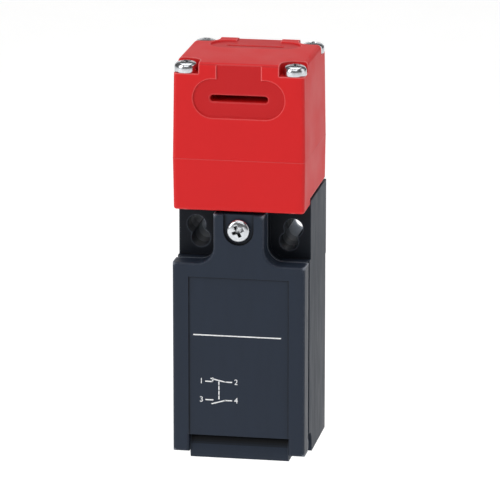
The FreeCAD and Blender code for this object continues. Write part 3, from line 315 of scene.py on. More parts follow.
# painted shade: darker in the driver's recess and the thread's roots
recess_shade = edge_mask(zinc_steel.node_tree, reach_mm=1.2, start=0.66, full=0.34, inside=False)
lay_colour(zinc_steel.node_tree.nodes["Principled BSDF"].inputs["Base Color"], recess_shade, "#2E3033")
rolled_brass = metal_finish("rolled_brass", "#D9B56A", "#C29A4C", roughness=0.30, mark_mm=0.4, mark_depth_mm=0.004,
                            stretch=(1.0, 1.0, 6.0))
contact_silver = metal_finish("contact_silver", "#E6E4DE", "#D2CFC6", roughness=0.25, mark_mm=0.3,
                              mark_depth_mm=0.004)
spring_wire = metal_finish("drawn_spring_wire", "#B9BCC0", "#8F9398", roughness=0.28, mark_mm=0.3,
                           mark_depth_mm=0.004)
print("made", [m.name for m in (zinc_steel, rolled_brass, contact_silver, spring_wire)])

# %% [markdown]
# ## Plastics and rubber inside
# With the cover open the contact block shows. It is an ivory thermoset, the slider and its lid are grey, and the
# cam and the plunger are white acetal, which is waxy and needs no oil. The gasket and the lip seal are black rubber.

# %% Inner plastics and rubber
INNER_EDGE = 0.15
# each finish's third colour is its painted highlight along the edges
ivory_plastic = moulded_finish("ivory_thermoset", "#CFC6AC", "#C8BEA2", "#E2DBC6", roughness=0.45, grain_mm=0.4,
                               grain_depth_mm=0.008, edge_mm=INNER_EDGE)
grey_plastic = moulded_finish("grey_polyamide", "#7C8083", "#74787B", "#9A9EA0", roughness=0.45, grain_mm=0.35,
                              grain_depth_mm=0.008, edge_mm=INNER_EDGE)
white_acetal = moulded_finish("white_acetal", "#E4E3DC", "#DCDBD3", "#F2F1EC", roughness=0.35, grain_mm=0.4,
                              grain_depth_mm=0.004, edge_mm=INNER_EDGE)
black_rubber = moulded_finish("black_rubber", "#17171A", "#1D1D20", "#2A2A2D", roughness=0.70, grain_mm=0.30,
                              grain_depth_mm=0.010, edge_mm=INNER_EDGE)
print("made", [m.name for m in (ivory_plastic, grey_plastic, white_acetal, black_rubber)])

# %% [markdown]
# ## Finishes onto the CAD nodes
# Each CAD node already has one material slot named in the record. The slot keeps its place and gets the finish
# made above, so no mesh is touched.

# %% Assign finishes
FINISH_OF_SLOT = {
    "red_plastic": red_plastic,
    "black_plastic": case_black,
    "ivory_plastic": ivory_plastic,
    "grey_plastic": grey_plastic,
    "white_plastic": white_acetal,
    "zinc_steel": zinc_steel,
    "spring_steel": spring_wire,
    "brass": rolled_brass,
    "contact_silver": contact_silver,
    "black_rubber": black_rubber,
}
for entry in frame["record"]["subparts"]:
    for slot in frame["nodes"][entry["node"]].material_slots:
        slot.material = FINISH_OF_SLOT[entry["material_slot"]]
frame["nodes"]["cover"].material_slots[0].material = cover_black

# %% [markdown]
# ## A turned blank
# A screw starts as wire that is upset into a head and rolled, and every cross-section of it is a circle. The same
# can be had from a cylinder and many edge slides, or by spinning a half profile. Here a circle is extruded and
# resized ring by ring, because each ring is then one pair of numbers, a radius and a height, read from a drawing.

# %% Turned blank
def turned_blank(name, rings_mm, sides=64):
    bpy.ops.object.select_all(action="DESELECT")
    radius, height = rings_mm[0]
    bpy.ops.mesh.primitive_circle_add(vertices=sides, radius=mm(radius), fill_type="NGON",
                                      location=(0, 0, mm(height)))
    blank = bpy.context.object
    blank.name = name
    bpy.ops.object.transform_apply(location=True)
    bpy.ops.object.mode_set(mode="EDIT")
    bpy.ops.mesh.select_all(action="SELECT")
    for next_radius, next_height in rings_mm[1:]:
        bpy.ops.mesh.extrude_region_move(TRANSFORM_OT_translate={"value": (0, 0, mm(next_height - height))})
        share = next_radius / radius
        bpy.ops.transform.resize(value=(share, share, 1), center_override=(0, 0, mm(next_height)))
        radius, height = next_radius, next_height
    bpy.ops.mesh.select_all(action="SELECT")
    bpy.ops.mesh.normals_make_consistent(inside=False)
    bpy.ops.object.mode_set(mode="OBJECT")
    return blank


print("turned blank ready")

# %% [markdown]
# ## Rings of a pan head
# From its tip upwards, a pan-head screw has a pointed lead-in, the core of its thread, a plain neck, a broken edge
# under the head and a crown that bends over into a nearly flat top. The crown's rings are shares of the head's radius
# and height, read from a drawing, so one list of rings serves every size in the switch.

# %% Pan head
PAN_RADIUS, PAN_HEIGHT, SHANK_RADIUS = 2.6, 2.4, 1.45
THREAD_DEPTH, LEAD_IN, RUN_OUT, NECK_PLAY, HEAD_EDGE = 0.24, 0.5, 0.2, 0.02, 0.12
TIP_SHARE, EDGE_SHARE, RIM_SHARE, FLAT_SHARE = 0.6, 0.42, 0.9, 0.66
CROWN_STEPS, CROWN_BEND = 6, 80


def pan_head_rings(head_radius, head_height, shank_radius, length, thread_length):
    core, neck_radius = shank_radius - THREAD_DEPTH, shank_radius - NECK_PLAY
    thread_end = thread_length - length
    tip = [(core * TIP_SHARE, -length), (core, LEAD_IN - length), (core, thread_end)]
    neck = [(neck_radius, thread_end + RUN_OUT), (neck_radius, 0), (head_radius - HEAD_EDGE, 0)]
    edge, rim, flat = EDGE_SHARE * head_height, RIM_SHARE * head_height, FLAT_SHARE * head_radius
    crown = [(head_radius, HEAD_EDGE), (head_radius, edge)]
    for step in range(1, CROWN_STEPS + 1):
        bend = math.radians(CROWN_BEND * step / CROWN_STEPS)
        crown.append((flat + (head_radius - flat) * math.cos(bend), edge + (rim - edge) * math.sin(bend)))
    return tip + neck + crown + [(0.45 * head_radius, 0.97 * head_height), (0.2 * head_radius, head_height)]


rings = pan_head_rings(PAN_RADIUS, PAN_HEIGHT, SHANK_RADIUS, length=8.0, thread_length=7.0)
print("a pan head of", PAN_RADIUS, "mm radius takes", len(rings), "rings")

# %% [markdown]
# ## The cross recess
# A driver's cross recess is punched cold into the head: four tapered wings that meet in a point. A knife cut would
# do, but a punch is nearer to the truth, so two wedges and a square pyramid are made and taken away with a Boolean.
# Each wedge is a cube whose lower face is drawn in.

# %% Cross recess
WING_TAPER, POINT_TAPER, POINT_SHARE, PUNCH_PROUD = 0.62, 0.4, 0.46, 0.3


def apply_boolean(piece, tool, operation):
    joining = piece.modifiers.new("joining", "BOOLEAN")
    joining.operation = operation
    joining.solver = "EXACT"
    joining.object = tool
    bpy.context.view_layer.objects.active = piece
    bpy.ops.object.modifier_apply(modifier=joining.name)
    bpy.data.objects.remove(tool)


def take_away(piece, cutter):
    apply_boolean(piece, cutter, "DIFFERENCE")


def wedge(length_mm, width_mm, depth_mm, top_mm, turn_degrees, drawn_in):
    bpy.ops.object.select_all(action="DESELECT")
    bpy.ops.mesh.primitive_cube_add(size=1, location=(0, 0, mm(top_mm - depth_mm / 2)),
                                    rotation=(0, 0, math.radians(turn_degrees)))
    punch = bpy.context.object
    punch.scale = mm(length_mm, width_mm, depth_mm)
    bpy.ops.object.transform_apply(location=True, rotation=True, scale=True)
    for corner in punch.data.vertices:
        corner.select = corner.co.z < mm(top_mm - depth_mm / 2)
    bpy.ops.object.mode_set(mode="EDIT")
    bpy.ops.mesh.select_mode(type="VERT")
    bpy.ops.transform.resize(value=(drawn_in, drawn_in, 1), center_override=(0, 0, 0))
    bpy.ops.object.mode_set(mode="OBJECT")
    return punch


def punch_cross(screw, head_height, wing_mm, width_mm, depth_mm):
    depth, top, point = depth_mm + PUNCH_PROUD, head_height + PUNCH_PROUD, POINT_SHARE * wing_mm
    for turn in (0, 90):
        take_away(screw, wedge(wing_mm, width_mm, depth, top, turn, WING_TAPER))
    take_away(screw, wedge(point, point, depth, top, 45, POINT_TAPER))


print("recess tools ready")

# %% [markdown]
# ## Slivers and sharp edges
# A Boolean leaves slivers, faces so thin that a bevel next to them has no room. So points that lie closer together
# than a hundredth of a millimetre are merged first. A small bevel on the sharp edges alone then rounds them, as
# plating and the wear of a mould do, and the faces between are shaded smooth.

# %% Broken edges
MERGE_GAP, SLIVER_GAP = 0.0005, 0.01
SHARP_ANGLE, SMOOTH_ANGLE = 38, 32


def drop_slivers(piece, gap_mm=MERGE_GAP):
    bpy.ops.object.select_all(action="DESELECT")
    piece.select_set(True)
    bpy.context.view_layer.objects.active = piece
    bpy.ops.object.mode_set(mode="EDIT")
    bpy.ops.mesh.select_all(action="SELECT")
    bpy.ops.mesh.remove_doubles(threshold=mm(gap_mm))
    bpy.ops.mesh.dissolve_degenerate(threshold=mm(gap_mm))
    bpy.ops.object.mode_set(mode="OBJECT")


def break_edges(piece, width_mm):
    drop_slivers(piece, SLIVER_GAP)
    rounding = piece.modifiers.new("edges", "BEVEL")
    rounding.width = mm(width_mm)
    rounding.segments = 2
    rounding.limit_method = "ANGLE"
    rounding.angle_limit = math.radians(SHARP_ANGLE)
    bpy.ops.object.modifier_apply(modifier=rounding.name)
    bpy.ops.object.shade_smooth_by_angle(angle=math.radians(SMOOTH_ANGLE))


print("edges over", SHARP_ANGLE, "degrees will be broken")

# %% [markdown]
# ## The thread
# A thread is one ridge wound round a core. A stack of rings looks right from afar and wrong at the tip, so the
# ridge's section, a plane with its outer edge pinched, is swept with the Screw modifier: a full turn per pitch.
# The two open ends are filled, which closes the ridge like the real one that runs out at the tip.

# %% Thread ridge
RIDGE_FOOT, RIDGE_CREST = 0.8, 0.2  # the foot's share of the pitch, and the crest's share of the foot


def thread_ridge(foot_radius, crest_radius, pitch_mm, start_mm, turns, steps=28):
    middle = mm((foot_radius + crest_radius) / 2)
    bpy.ops.object.select_all(action="DESELECT")
    bpy.ops.mesh.primitive_plane_add(size=1, location=(middle, 0, mm(start_mm)), rotation=(math.pi / 2, 0, 0))
    ridge = bpy.context.object
    ridge.scale = (mm(abs(crest_radius - foot_radius)), mm(RIDGE_FOOT * pitch_mm), 1)
    bpy.ops.object.transform_apply(location=True, rotation=True, scale=True)
    for corner in ridge.data.vertices:
        corner.select = (corner.co.x > middle) == (crest_radius > foot_radius)
    bpy.ops.object.mode_set(mode="EDIT")
    bpy.ops.mesh.select_mode(type="VERT")
    bpy.ops.transform.resize(value=(1, 1, RIDGE_CREST), center_override=(0, 0, mm(start_mm)))
    bpy.ops.mesh.select_all(action="SELECT")
    bpy.ops.mesh.delete(type="ONLY_FACE")
    bpy.ops.object.mode_set(mode="OBJECT")
    winding = ridge.modifiers.new("winding", "SCREW")
    winding.axis = "Z"
    winding.angle = 2 * math.pi
    winding.screw_offset = mm(pitch_mm)
    winding.iterations = turns
    winding.steps = winding.render_steps = steps
    bpy.ops.object.modifier_apply(modifier=winding.name)
    bpy.ops.object.mode_set(mode="EDIT")
    bpy.ops.mesh.select_all(action="SELECT")
    bpy.ops.mesh.fill_holes(sides=4)
    bpy.ops.mesh.select_all(action="SELECT")
    bpy.ops.mesh.normals_make_consistent(inside=False)
    bpy.ops.object.mode_set(mode="OBJECT")
    return ridge


def join_onto(piece, other):
    bpy.ops.object.select_all(action="DESELECT")
    other.select_set(True)
    piece.select_set(True)
    bpy.context.view_layer.objects.active = piece
    bpy.ops.object.join()


THREAD_PITCH = 0.5
print("thread of", THREAD_PITCH, "mm pitch ready")

# %% [markdown]
# ## One screw of each kind
# The switch is held together by pan-head machine screws of about one thread size. Four long ones run down through
# the head, one holds the cover, four clamp the wires and two hold the contact block. Each kind is modelled once,
# standing at the origin with its seat at zero height, and then copied to its places, so a change is made once.

# %% Screw patterns
WING_SHARE, DEPTH_SHARE, DEEPEST, RIDGE_ROOT, CREST_PLAY = 0.27, 0.85, 1.6, 0.05, 0.01


def screw_pattern(name, head_radius, head_height, shank_radius, length, thread_length, wing_mm):
    screw = turned_blank(name, pan_head_rings(head_radius, head_height, shank_radius, length, thread_length))
    punch_cross(screw, head_height, wing_mm, WING_SHARE * wing_mm, min(DEEPEST, DEPTH_SHARE * head_height))
    break_edges(screw, width_mm=0.05)
    turns = int((thread_length - LEAD_IN) / THREAD_PITCH)
    ridge = thread_ridge(shank_radius - THREAD_DEPTH - RIDGE_ROOT, shank_radius - CREST_PLAY, THREAD_PITCH,
                         LEAD_IN - length, turns)
    join_onto(screw, ridge)
    screw.data.materials.clear()
    screw.data.materials.append(zinc_steel)
    return screw


def set_screw(pattern, name, seat, out, turn_degrees, body, node):
    bpy.ops.object.select_all(action="DESELECT")
    pattern.select_set(True)
    bpy.context.view_layer.objects.active = pattern
    bpy.ops.object.duplicate()
    screw = bpy.context.object
    screw.name = name
    screw.location = seat
    facing = Vector(out).to_track_quat("Z", "Y")
    screw.rotation_euler = (facing @ Quaternion((0, 0, 1), math.radians(turn_degrees))).to_euler()
    bpy.ops.object.transform_apply(location=True, rotation=True, scale=True)
    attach(screw, body)
    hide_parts(node)


print("screw tools ready")

# %% [markdown]
# ## Head screws
# Four long screws at the head's corners pull the red head onto the case. Their places come from the CAD node's
# box: the outermost edge less the head's radius is the axis, and the top less the head's height is the seat. A
# fitter never stops them at the same angle, so each is turned a little differently.

# %% Head screws
low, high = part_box("head_screws")
seat_z = high.z - mm(PAN_HEIGHT)
pattern = screw_pattern("head_screw_pattern", PAN_RADIUS, PAN_HEIGHT, SHANK_RADIUS, to_mm(seat_z - low.z),
                        thread_length=9.0, wing_mm=3.7)
CORNERS = {"front_left": (low.x, low.y, 1, 1, 28), "front_right": (high.x, low.y, -1, 1, 12),
           "back_left": (low.x, high.y, 1, -1, 50), "back_right": (high.x, high.y, -1, -1, 75)}
for corner, (x, y, inward_x, inward_y, turn) in CORNERS.items():
    seat = (x + inward_x * mm(PAN_RADIUS), y + inward_y * mm(PAN_RADIUS), seat_z)
    set_screw(pattern, "head_screw_" + corner, seat, (0, 0, 1), turn, "switch_body", "head_screws")
print("four head screws,", len(pattern.data.polygons), "faces each")
bpy.data.objects.remove(pattern)

# %% [markdown]
# ## Cover screw
# One captive screw in the tongue holds the cover shut. Its head is lower than the others', and its recess wider. It
# stays in the cover when that swings open, so it rides on the cover, and its thread shows then.

# %% Cover screw
COVER_PAN_HEIGHT = 1.65
low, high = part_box("cover_screw")
seat = Vector(((low.x + high.x) / 2, low.y + mm(COVER_PAN_HEIGHT), (low.z + high.z) / 2))
pattern = screw_pattern("cover_screw_pattern", PAN_RADIUS, COVER_PAN_HEIGHT, SHANK_RADIUS, to_mm(high.y - seat.y),
                        thread_length=6.0, wing_mm=4.4)
set_screw(pattern, "cover_screw_steel", seat, (0, -1, 0), 24, "cover", "cover_screw")
bpy.data.objects.remove(pattern)
print("cover screw seated at mm", [round(to_mm(c), 2) for c in seat])

# %% [markdown]
# ## Terminal and block screws
# Inside, four smaller screws press the clamp plates onto the wires, and two hold the contact block to the bosses on
# the case's back wall. They are the same kind of screw, so the same pattern function gives both.

# %% Inner screws
def set_front_screws(node, name, head_radius, head_height, shank_radius, thread_length, wing_mm, turns):
    low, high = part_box(node)
    seat_y = low.y + mm(head_height)
    pattern = screw_pattern(name + "_pattern", head_radius, head_height, shank_radius, to_mm(high.y - seat_y),
                            thread_length, wing_mm)
    columns = [low.x + mm(head_radius), high.x - mm(head_radius)]
    rows = [(low.z + high.z) / 2] if len(turns) == 2 else [low.z + mm(head_radius), high.z - mm(head_radius)]
    for number, (x, z) in enumerate((x, z) for z in rows for x in columns):
        set_screw(pattern, f"{name}_{number + 1}", (x, seat_y, z), (0, -1, 0), turns[number], "switch_body", node)
    bpy.data.objects.remove(pattern)
    print(len(turns), "of", name)


set_front_screws("terminal_screws", "terminal_screw", head_radius=2.3, head_height=1.8, shank_radius=1.5,
                 thread_length=5.0, wing_mm=2.7, turns=(15, 62, 40, 8))
set_front_screws("contact_block_screws", "block_screw", head_radius=PAN_RADIUS, head_height=PAN_HEIGHT,
                 shank_radius=SHANK_RADIUS, thread_length=4.0, wing_mm=3.1, turns=(33, 70))

# %% [markdown]
# ## Parting seam of the head
# The mould for the head opens at one height, and there the two halves leave a hair line of plastic all round. It
# could be drawn with bump, but then the mesh would not have it. Here a plane gets the head's rounded corners with a
# vertex bevel, an inset leaves a frame of it, and an extrusion gives the frame the height of the seam.

# %% Parting seam
PARTING_HEIGHT, SEAM_PROUD, SEAM_HEIGHT, SEAM_WIDTH, HEAD_CORNER = 69.3, 0.03, 0.18, 0.4, 0.8
low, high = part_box("head_housing")
bpy.ops.object.select_all(action="DESELECT")
bpy.ops.mesh.primitive_plane_add(size=high.x - low.x + 2 * mm(SEAM_PROUD),
                                 location=(0, (low.y + high.y) / 2, mm(PARTING_HEIGHT - SEAM_HEIGHT / 2)))
seam = bpy.context.object
seam.name = "head_parting_seam"
bpy.ops.object.transform_apply(location=True)
bpy.ops.object.mode_set(mode="EDIT")
bpy.ops.mesh.select_all(action="SELECT")
bpy.ops.mesh.bevel(offset=mm(HEAD_CORNER), segments=6, affect="VERTICES")
bpy.ops.mesh.select_mode(type="FACE")
bpy.ops.mesh.select_all(action="SELECT")
bpy.ops.mesh.inset(thickness=mm(SEAM_WIDTH))
bpy.ops.mesh.delete(type="FACE")
bpy.ops.mesh.select_all(action="SELECT")
bpy.ops.mesh.extrude_region_move(TRANSFORM_OT_translate={"value": (0, 0, mm(SEAM_HEIGHT))})
bpy.ops.mesh.select_all(action="SELECT")
bpy.ops.mesh.normals_make_consistent(inside=False)
bpy.ops.object.mode_set(mode="OBJECT")
break_edges(seam, width_mm=0.03)
# the seam's third colour is its painted edge highlight
seam_red = moulded_finish("red_polyester_seam", "#C01417", "#C81619", "#CC2A2C", roughness=0.50, grain_mm=0.35,
                          grain_depth_mm=0.012, edge_mm=0.05)
seam.data.materials.append(seam_red)
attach(seam, "switch_body")
print("parting seam", len(seam.data.polygons), "faces")

# %% [markdown]
# ## A copy of the case to cut
# Three details are too fine for the CAD model of the case: the thread in its cable entry, of which the model has only
# the core, the step that makes the joint to the cover a clean dark line, and a low pad under the cover's tongue. A
# CAD mesh may not be edited, so the case is copied, and the loose triangles of the copy are merged into one skin that
# a Boolean can cut.

# %% Case copy
cut_case = bpy.data.objects.new("case_with_entry_thread", frame["nodes"]["case"].data.copy())
bpy.context.collection.objects.link(cut_case)
drop_slivers(cut_case)
bpy.ops.mesh.customdata_custom_splitnormals_clear()
print("case copied,", len(cut_case.data.vertices), "corners left after merging")

# %% [markdown]
# ## Thread in the cable entry
# The entry in the floor of the case is tapped for a gland. The wound ridge that made the screws' threads makes this
# one too: it points outwards, starts a pitch below the mouth and is taken away from the copy, as a tap does it.

# %% Entry thread
ENTRY_RADIUS, ENTRY_LENGTH, ENTRY_Y = 9.2, 9.6, 2.0
ENTRY_PITCH, ENTRY_DEPTH, TAP_OVERLAP = 1.5, 0.75, 0.3
turns = int(ENTRY_LENGTH / ENTRY_PITCH)
ridge = thread_ridge(ENTRY_RADIUS - TAP_OVERLAP, ENTRY_RADIUS + ENTRY_DEPTH, ENTRY_PITCH, -ENTRY_PITCH, turns,
                     steps=64)
ridge.location.y = mm(ENTRY_Y)
take_away(cut_case, ridge)
print("entry thread of", turns, "turns")

# %% [markdown]
# ## The step behind the cover
# Two mouldings never meet quite flush, so toolmakers set one edge back and let the shadow hide the misfit. Here the
# outer front edge of the case steps in a little on both sides, up to the cover's shoulders. A long bar with its inner
# side drawn in is taken away on each side, which leaves the step a slight slope, as a mould needs.

# %% Joint step
STEP_DEPTH, STEP_WIDTH, STEP_DRAFT, SHOULDER, BAR_EXTRA = 0.45, 1.4, 0.9, 46.1, 2
side_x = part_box("case")[1].x
joint_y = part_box("cover_gasket")[1].y
for side in (-1, 1):
    bpy.ops.object.select_all(action="DESELECT")
    bpy.ops.mesh.primitive_cube_add(size=1, location=(side * side_x, joint_y, mm(SHOULDER / 2)))
    bar = bpy.context.object
    bar.scale = mm(2 * STEP_DEPTH, 2 * STEP_WIDTH, SHOULDER + BAR_EXTRA)
    bpy.ops.object.transform_apply(location=True, rotation=True, scale=True)
    for corner in bar.data.vertices:
        corner.select = abs(corner.co.x) < side_x
    bpy.ops.object.mode_set(mode="EDIT")
    bpy.ops.mesh.select_mode(type="VERT")
    bpy.ops.transform.resize(value=(1, STEP_DRAFT, 1), center_override=(0, joint_y, 0))
    bpy.ops.object.mode_set(mode="OBJECT")
    take_away(cut_case, bar)
print("joint step", STEP_DEPTH, "mm deep and", STEP_WIDTH, "mm wide")

# %% [markdown]
# ## The pad under the cover's tongue
# Where the cover screw pulls, the tongue would bend into the gap that the gasket keeps open everywhere else. So the
# case carries a low pad there, nearly as thick as the gasket, with the brass insert at the bottom of its bore. It is
# a cube with broken edges, bored by a turned blank, and the same Boolean, set to unite, makes it one with the case.

# %% Tongue pad
PAD_HALF, PAD_FOOT, PAD_RISE, PAD_ROOT, PAD_MARGIN = 4.9, 46.8, 0.52, 0.3, 0.3
BORE_PLAY, BORE_REACH, CASE_SMOOTH_ANGLE = 0.05, 3.0, 30
insert_low, insert_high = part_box("cover_screw_insert")
pad_top = to_mm(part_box("cover")[1].z) - PAD_MARGIN
bpy.ops.object.select_all(action="DESELECT")
bpy.ops.mesh.primitive_cube_add(size=1, location=(0, joint_y + mm((PAD_ROOT - PAD_RISE) / 2),
                                                  mm((PAD_FOOT + pad_top) / 2)))
pad = bpy.context.object
pad.scale = mm(2 * PAD_HALF, PAD_RISE + PAD_ROOT, pad_top - PAD_FOOT)
bpy.ops.object.transform_apply(location=True, rotation=True, scale=True)
break_edges(pad, width_mm=0.2)
bore_radius = to_mm(insert_high.x - insert_low.x) / 2 + BORE_PLAY
bore = turned_blank("pad_bore", [(bore_radius, -BORE_REACH), (bore_radius, BORE_REACH)])
bore.rotation_euler = (math.pi / 2, 0, 0)
bore.location = (0, joint_y, (insert_low.z + insert_high.z) / 2)
take_away(pad, bore)
apply_boolean(cut_case, pad, "UNION")
drop_slivers(cut_case)
bpy.ops.object.shade_smooth_by_angle(angle=math.radians(CASE_SMOOTH_ANGLE))
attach(cut_case, "switch_body")
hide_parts("case")
print("case cut,", len(cut_case.data.polygons), "faces")

# %% [markdown]
# ## White print on the cover
# Pad printing lays a film of white ink a few hundredths of a millimetre thick into the sunk field of the cover. The
# ink hides well but not fully: it has fine pinholes where the black shows through and greys the white. A noise gives
# the pinholes, and the same noise the relief of the film.

# %% Ink
# a pad leaves pinholes of a few hundredths of a millimetre; 0.15 mm is as fine as this render can show
PINHOLE_MM = 0.15
printed_ink, tree, shader = new_finish("pad_printed_white_ink")
place = add_node(tree, "ShaderNodeTexCoord").outputs["Object"]
pinholes = add_node(tree, "ShaderNodeTexNoise", {"Vector": place, "Scale": per_metre(PINHOLE_MM), "Detail": 2.0})
hiding = add_node(tree, "ShaderNodeMapRange", {"Value": pinholes.outputs[0], "From Min": 0.30, "From Max": 0.5})
film = add_node(tree, "ShaderNodeMix", {"Factor": hiding.outputs[0], MIX_A: linear("#B9BCC2"),
                                        MIX_B: linear("#F1F2F3")}, data_type="RGBA")
relief = add_node(tree, "ShaderNodeBump", {"Height": pinholes.outputs[0], "Distance": mm(0.005), "Strength": 0.4})
tree.links.new(film.outputs[MIX_COLOUR], shader.inputs["Base Color"])
tree.links.new(relief.outputs[0], shader.inputs["Normal"])
shader.inputs["Roughness"].default_value = 0.55
print("made", printed_ink.name)

# %% [markdown]
# ## Strokes of ink
# A printed stroke is a thin raised bar with rounded ends. A curve with a bevel would do; here a plane between two
# points on the cover gets rounded corners with a vertex bevel, and an extrusion gives it the film's thickness.

# %% Strokes
LABEL_DEPTH, FILM, STROKE, STROKE_ROUNDING = 0.25, 0.03, 0.26, 0.42
LABEL_FACE = to_mm(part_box("cover")[0].y) + LABEL_DEPTH


def ink_stroke(start, end):
    run, rise = end[0] - start[0], end[1] - start[1]
    bpy.ops.object.select_all(action="DESELECT")
    bpy.ops.mesh.primitive_plane_add(size=1, rotation=(math.pi / 2, -math.atan2(rise, run), 0),
                                     location=mm((start[0] + end[0]) / 2, LABEL_FACE, (start[1] + end[1]) / 2))
    stroke = bpy.context.object
    stroke.scale = (mm(math.hypot(run, rise) + STROKE), mm(STROKE), 1)
    bpy.ops.object.transform_apply(location=True, rotation=True, scale=True)
    bpy.ops.object.mode_set(mode="EDIT")
    bpy.ops.mesh.select_all(action="SELECT")
    bpy.ops.mesh.bevel(offset=mm(STROKE_ROUNDING * STROKE), segments=3, affect="VERTICES")
    bpy.ops.mesh.select_all(action="SELECT")
    bpy.ops.mesh.extrude_region_move(TRANSFORM_OT_translate={"value": (0, mm(-FILM), 0)})
    bpy.ops.mesh.select_all(action="SELECT")
    bpy.ops.mesh.normals_make_consistent(inside=False)
    bpy.ops.object.mode_set(mode="OBJECT")
    return stroke


print("strokes will lie at Y", round(LABEL_FACE, 2), "mm")

# %% [markdown]
# ## Figures of ink
# The contacts are numbered. A figure is a text object with the film's thickness, turned into a mesh before it is
# stood up against the cover. Blender's own typeface is plain enough for print of this size.

# %% Figures
FIGURE_HEIGHT, TYPE_SHARE = 1.3, 0.72  # a figure fills this share of its type size


def ink_figure(words, spot):
    bpy.ops.object.select_all(action="DESELECT")
    bpy.ops.object.text_add()
    figure = bpy.context.object
    figure.data.body = words
    figure.data.size = mm(FIGURE_HEIGHT / TYPE_SHARE)
    figure.data.align_x = "CENTER"
    figure.data.align_y = "CENTER"
    figure.data.extrude = mm(FILM / 2)
    bpy.ops.object.convert(target="MESH")
    figure = bpy.context.object
    drop_slivers(figure)
    figure.rotation_euler = (math.pi / 2, 0, 0)
    figure.location = mm(spot[0], LABEL_FACE - FILM / 2, spot[1])
    bpy.ops.object.transform_apply(location=True, rotation=True, scale=True)
    return figure


print("figures will be", FIGURE_HEIGHT, "mm high")

# %% [markdown]
# ## The contact sign
# The print has a rule and a plain sign for the two contacts, the opening one above and the closing one below, with a
# dashed line for the slider that moves both. The strokes are written as pairs of points on the cover, in millimetres,
# so the sign can be redrawn by changing numbers. All of them are joined into one film.

# %% Contact sign
RULE = [((-10.2, 28.95), (9.5, 28.95))]
OPENING_CONTACT = [((-7.5, 18.2), (-5.9, 18.2)), ((-5.9, 18.2), (-5.9, 19.0)), ((-3.1, 18.2), (-6.3, 18.9)),
                   ((-3.1, 18.2), (-1.6, 18.2))]
CLOSING_CONTACT = [((-7.5, 13.9), (-5.9, 13.9)), ((-3.1, 13.9), (-6.1, 13.0)), ((-3.1, 13.9), (-1.6, 13.9))]
SLIDER = [((-4.5, top), (-4.5, top - 0.7)) for top in (18.2, 17.1, 16.0, 14.9)]
FIGURES = {"1": (-8.5, 18.2), "2": (-0.6, 18.2), "3": (-8.5, 13.9), "4": (-0.6, 13.9)}
marks = [ink_stroke(*ends) for ends in RULE + OPENING_CONTACT + CLOSING_CONTACT + SLIDER]
marks += [ink_figure(words, spot) for words, spot in FIGURES.items()]
for mark in marks[1:]:
    join_onto(marks[0], mark)
label_print = marks[0]
label_print.name = "cover_label_print"
label_print.data.materials.clear()
label_print.data.materials.append(printed_ink)
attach(label_print, "cover")
print("label print", len(label_print.data.polygons), "faces")

# %% [markdown]
# ## Floor
# Catalogue pictures of small devices are often taken over a light table: a sheet of white acrylic that glows faintly
# from below, which thins the shadow under the object. The floor is one such sheet, wide enough that its edge never
# shows, with a trace of cloud so it is not a flat colour. The switch hangs on its fixing screws, with room for the
# cable below it, so the sheet lies lower than its foot. Its shadow then falls outside the picture, and the cover has
# room to swing open.

# %% Floor
FLOOR_DROP, FLOOR_SIZE, HAZE_MM, GLOW = 40.0, 6000.0, 30.0, 0.36
WHITE = linear("#FFFFFF")
bpy.ops.object.select_all(action="DESELECT")
bpy.ops.mesh.primitive_plane_add(size=mm(FLOOR_SIZE), location=(0, 0, mm(-FLOOR_DROP)))
floor = bpy.context.object
floor.name = "floor"
floor_finish, tree, shader = new_finish("white_light_table_acrylic")
place = add_node(tree, "ShaderNodeTexCoord").outputs["Object"]
haze = add_node(tree, "ShaderNodeTexNoise", {"Vector": place, "Scale": per_metre(HAZE_MM), "Detail": 4.0})
sheet = add_node(tree, "ShaderNodeMix", {"Factor": haze.outputs[0], MIX_A: linear("#F3F3F2"),
                                         MIX_B: linear("#F8F8F8")}, data_type="RGBA")
tree.links.new(sheet.outputs[MIX_COLOUR], shader.inputs["Base Color"])
shader.inputs["Emission Color"].default_value = WHITE
shader.inputs["Emission Strength"].default_value = GLOW
shader.inputs["Roughness"].default_value = 0.9
shader.inputs["Specular IOR Level"].default_value = 0.1
floor.data.materials.append(floor_finish)
print("floor", floor.dimensions[:])

# %% [markdown]
# ## Soft boxes
# Small devices are lit by large soft boxes. A broad box overhead lights the floor and the head's top, one at the
# left and one high in front fill the front, one at the right rakes the side, where the grain turns it into a soft
# grey, and a low one far behind is mirrored at a flat angle by the head's top, which gives the red there its haze.

# %% Soft boxes
AIM = mm(-0.04, 0.0, 45.16)


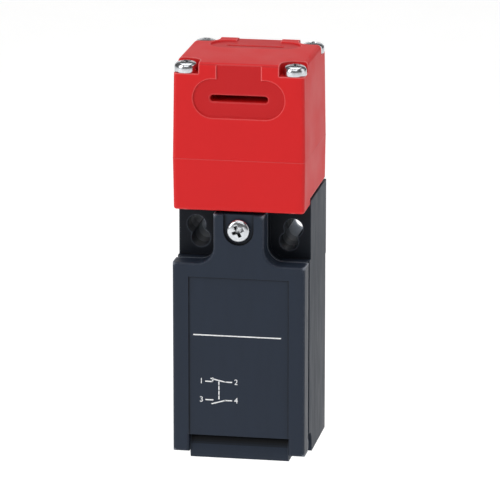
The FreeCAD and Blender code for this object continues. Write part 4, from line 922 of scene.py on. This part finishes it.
def soft_box(name, spot_mm, width_mm, height_mm, watts):
    lamp = bpy.data.lights.new(name, "AREA")
    lamp.shape = "RECTANGLE"
    lamp.size = mm(width_mm)
    lamp.size_y = mm(height_mm)
    lamp.energy = watts
    box = bpy.data.objects.new(name, lamp)
    bpy.context.collection.objects.link(box)
    box.location = mm(*spot_mm)
    box.rotation_euler = (AIM - box.location).to_track_quat("-Z", "Y").to_euler()


soft_box("box_overhead", (0, 50, 900), 900, 900, watts=5.0)
soft_box("box_left", (-650, -600, 420), 500, 700, watts=4.0)
soft_box("box_right", (780, 80, 320), 500, 700, watts=1.3)
soft_box("box_behind", (-150, 900, 300), 1200, 400, watts=1.2)
soft_box("box_front", (150, -900, 800), 900, 600, watts=2.5)

# %% [markdown]
# ## The room
# The white walls of a studio send a little light back from every side, which keeps the shadows open. The world's
# background stands for them. The view transform is set to Standard, so that colours picked from a card stay as bright
# and saturated as they are there.

# %% Room
ROOM_LIGHT = 0.12
world = bpy.context.scene.world or bpy.data.worlds.new("studio")
bpy.context.scene.world = world
world.use_nodes = True
room = world.node_tree.nodes["Background"]
room.inputs["Color"].default_value = WHITE
room.inputs["Strength"].default_value = ROOM_LIGHT
bpy.context.scene.view_settings.view_transform = "Standard"
print("room light", ROOM_LIGHT)

# %% [markdown]
# ## Camera
# The camera stands a little to the right of the front and a little above, far away with a long lens, so the
# uprights stay nearly parallel, as in the photograph.

# %% Camera
AZIMUTH, ELEVATION, DISTANCE = math.radians(10.07), math.radians(14.61), mm(965.0)
FOCAL_LENGTH, SENSOR_WIDTH = 307.7, 36.0
eye = bpy.data.cameras.new("catalogue_camera")
eye.lens = FOCAL_LENGTH
eye.sensor_width = SENSOR_WIDTH
camera = bpy.data.objects.new("catalogue_camera", eye)
bpy.context.collection.objects.link(camera)
level = math.cos(ELEVATION)
away = Vector((math.sin(AZIMUTH) * level, -math.cos(AZIMUTH) * level, math.sin(ELEVATION)))
camera.location = AIM + away * DISTANCE
camera.rotation_euler = (math.pi / 2 - ELEVATION, 0, AZIMUTH)
bpy.context.scene.camera = camera
print("camera at mm", [round(to_mm(c)) for c in camera.location])
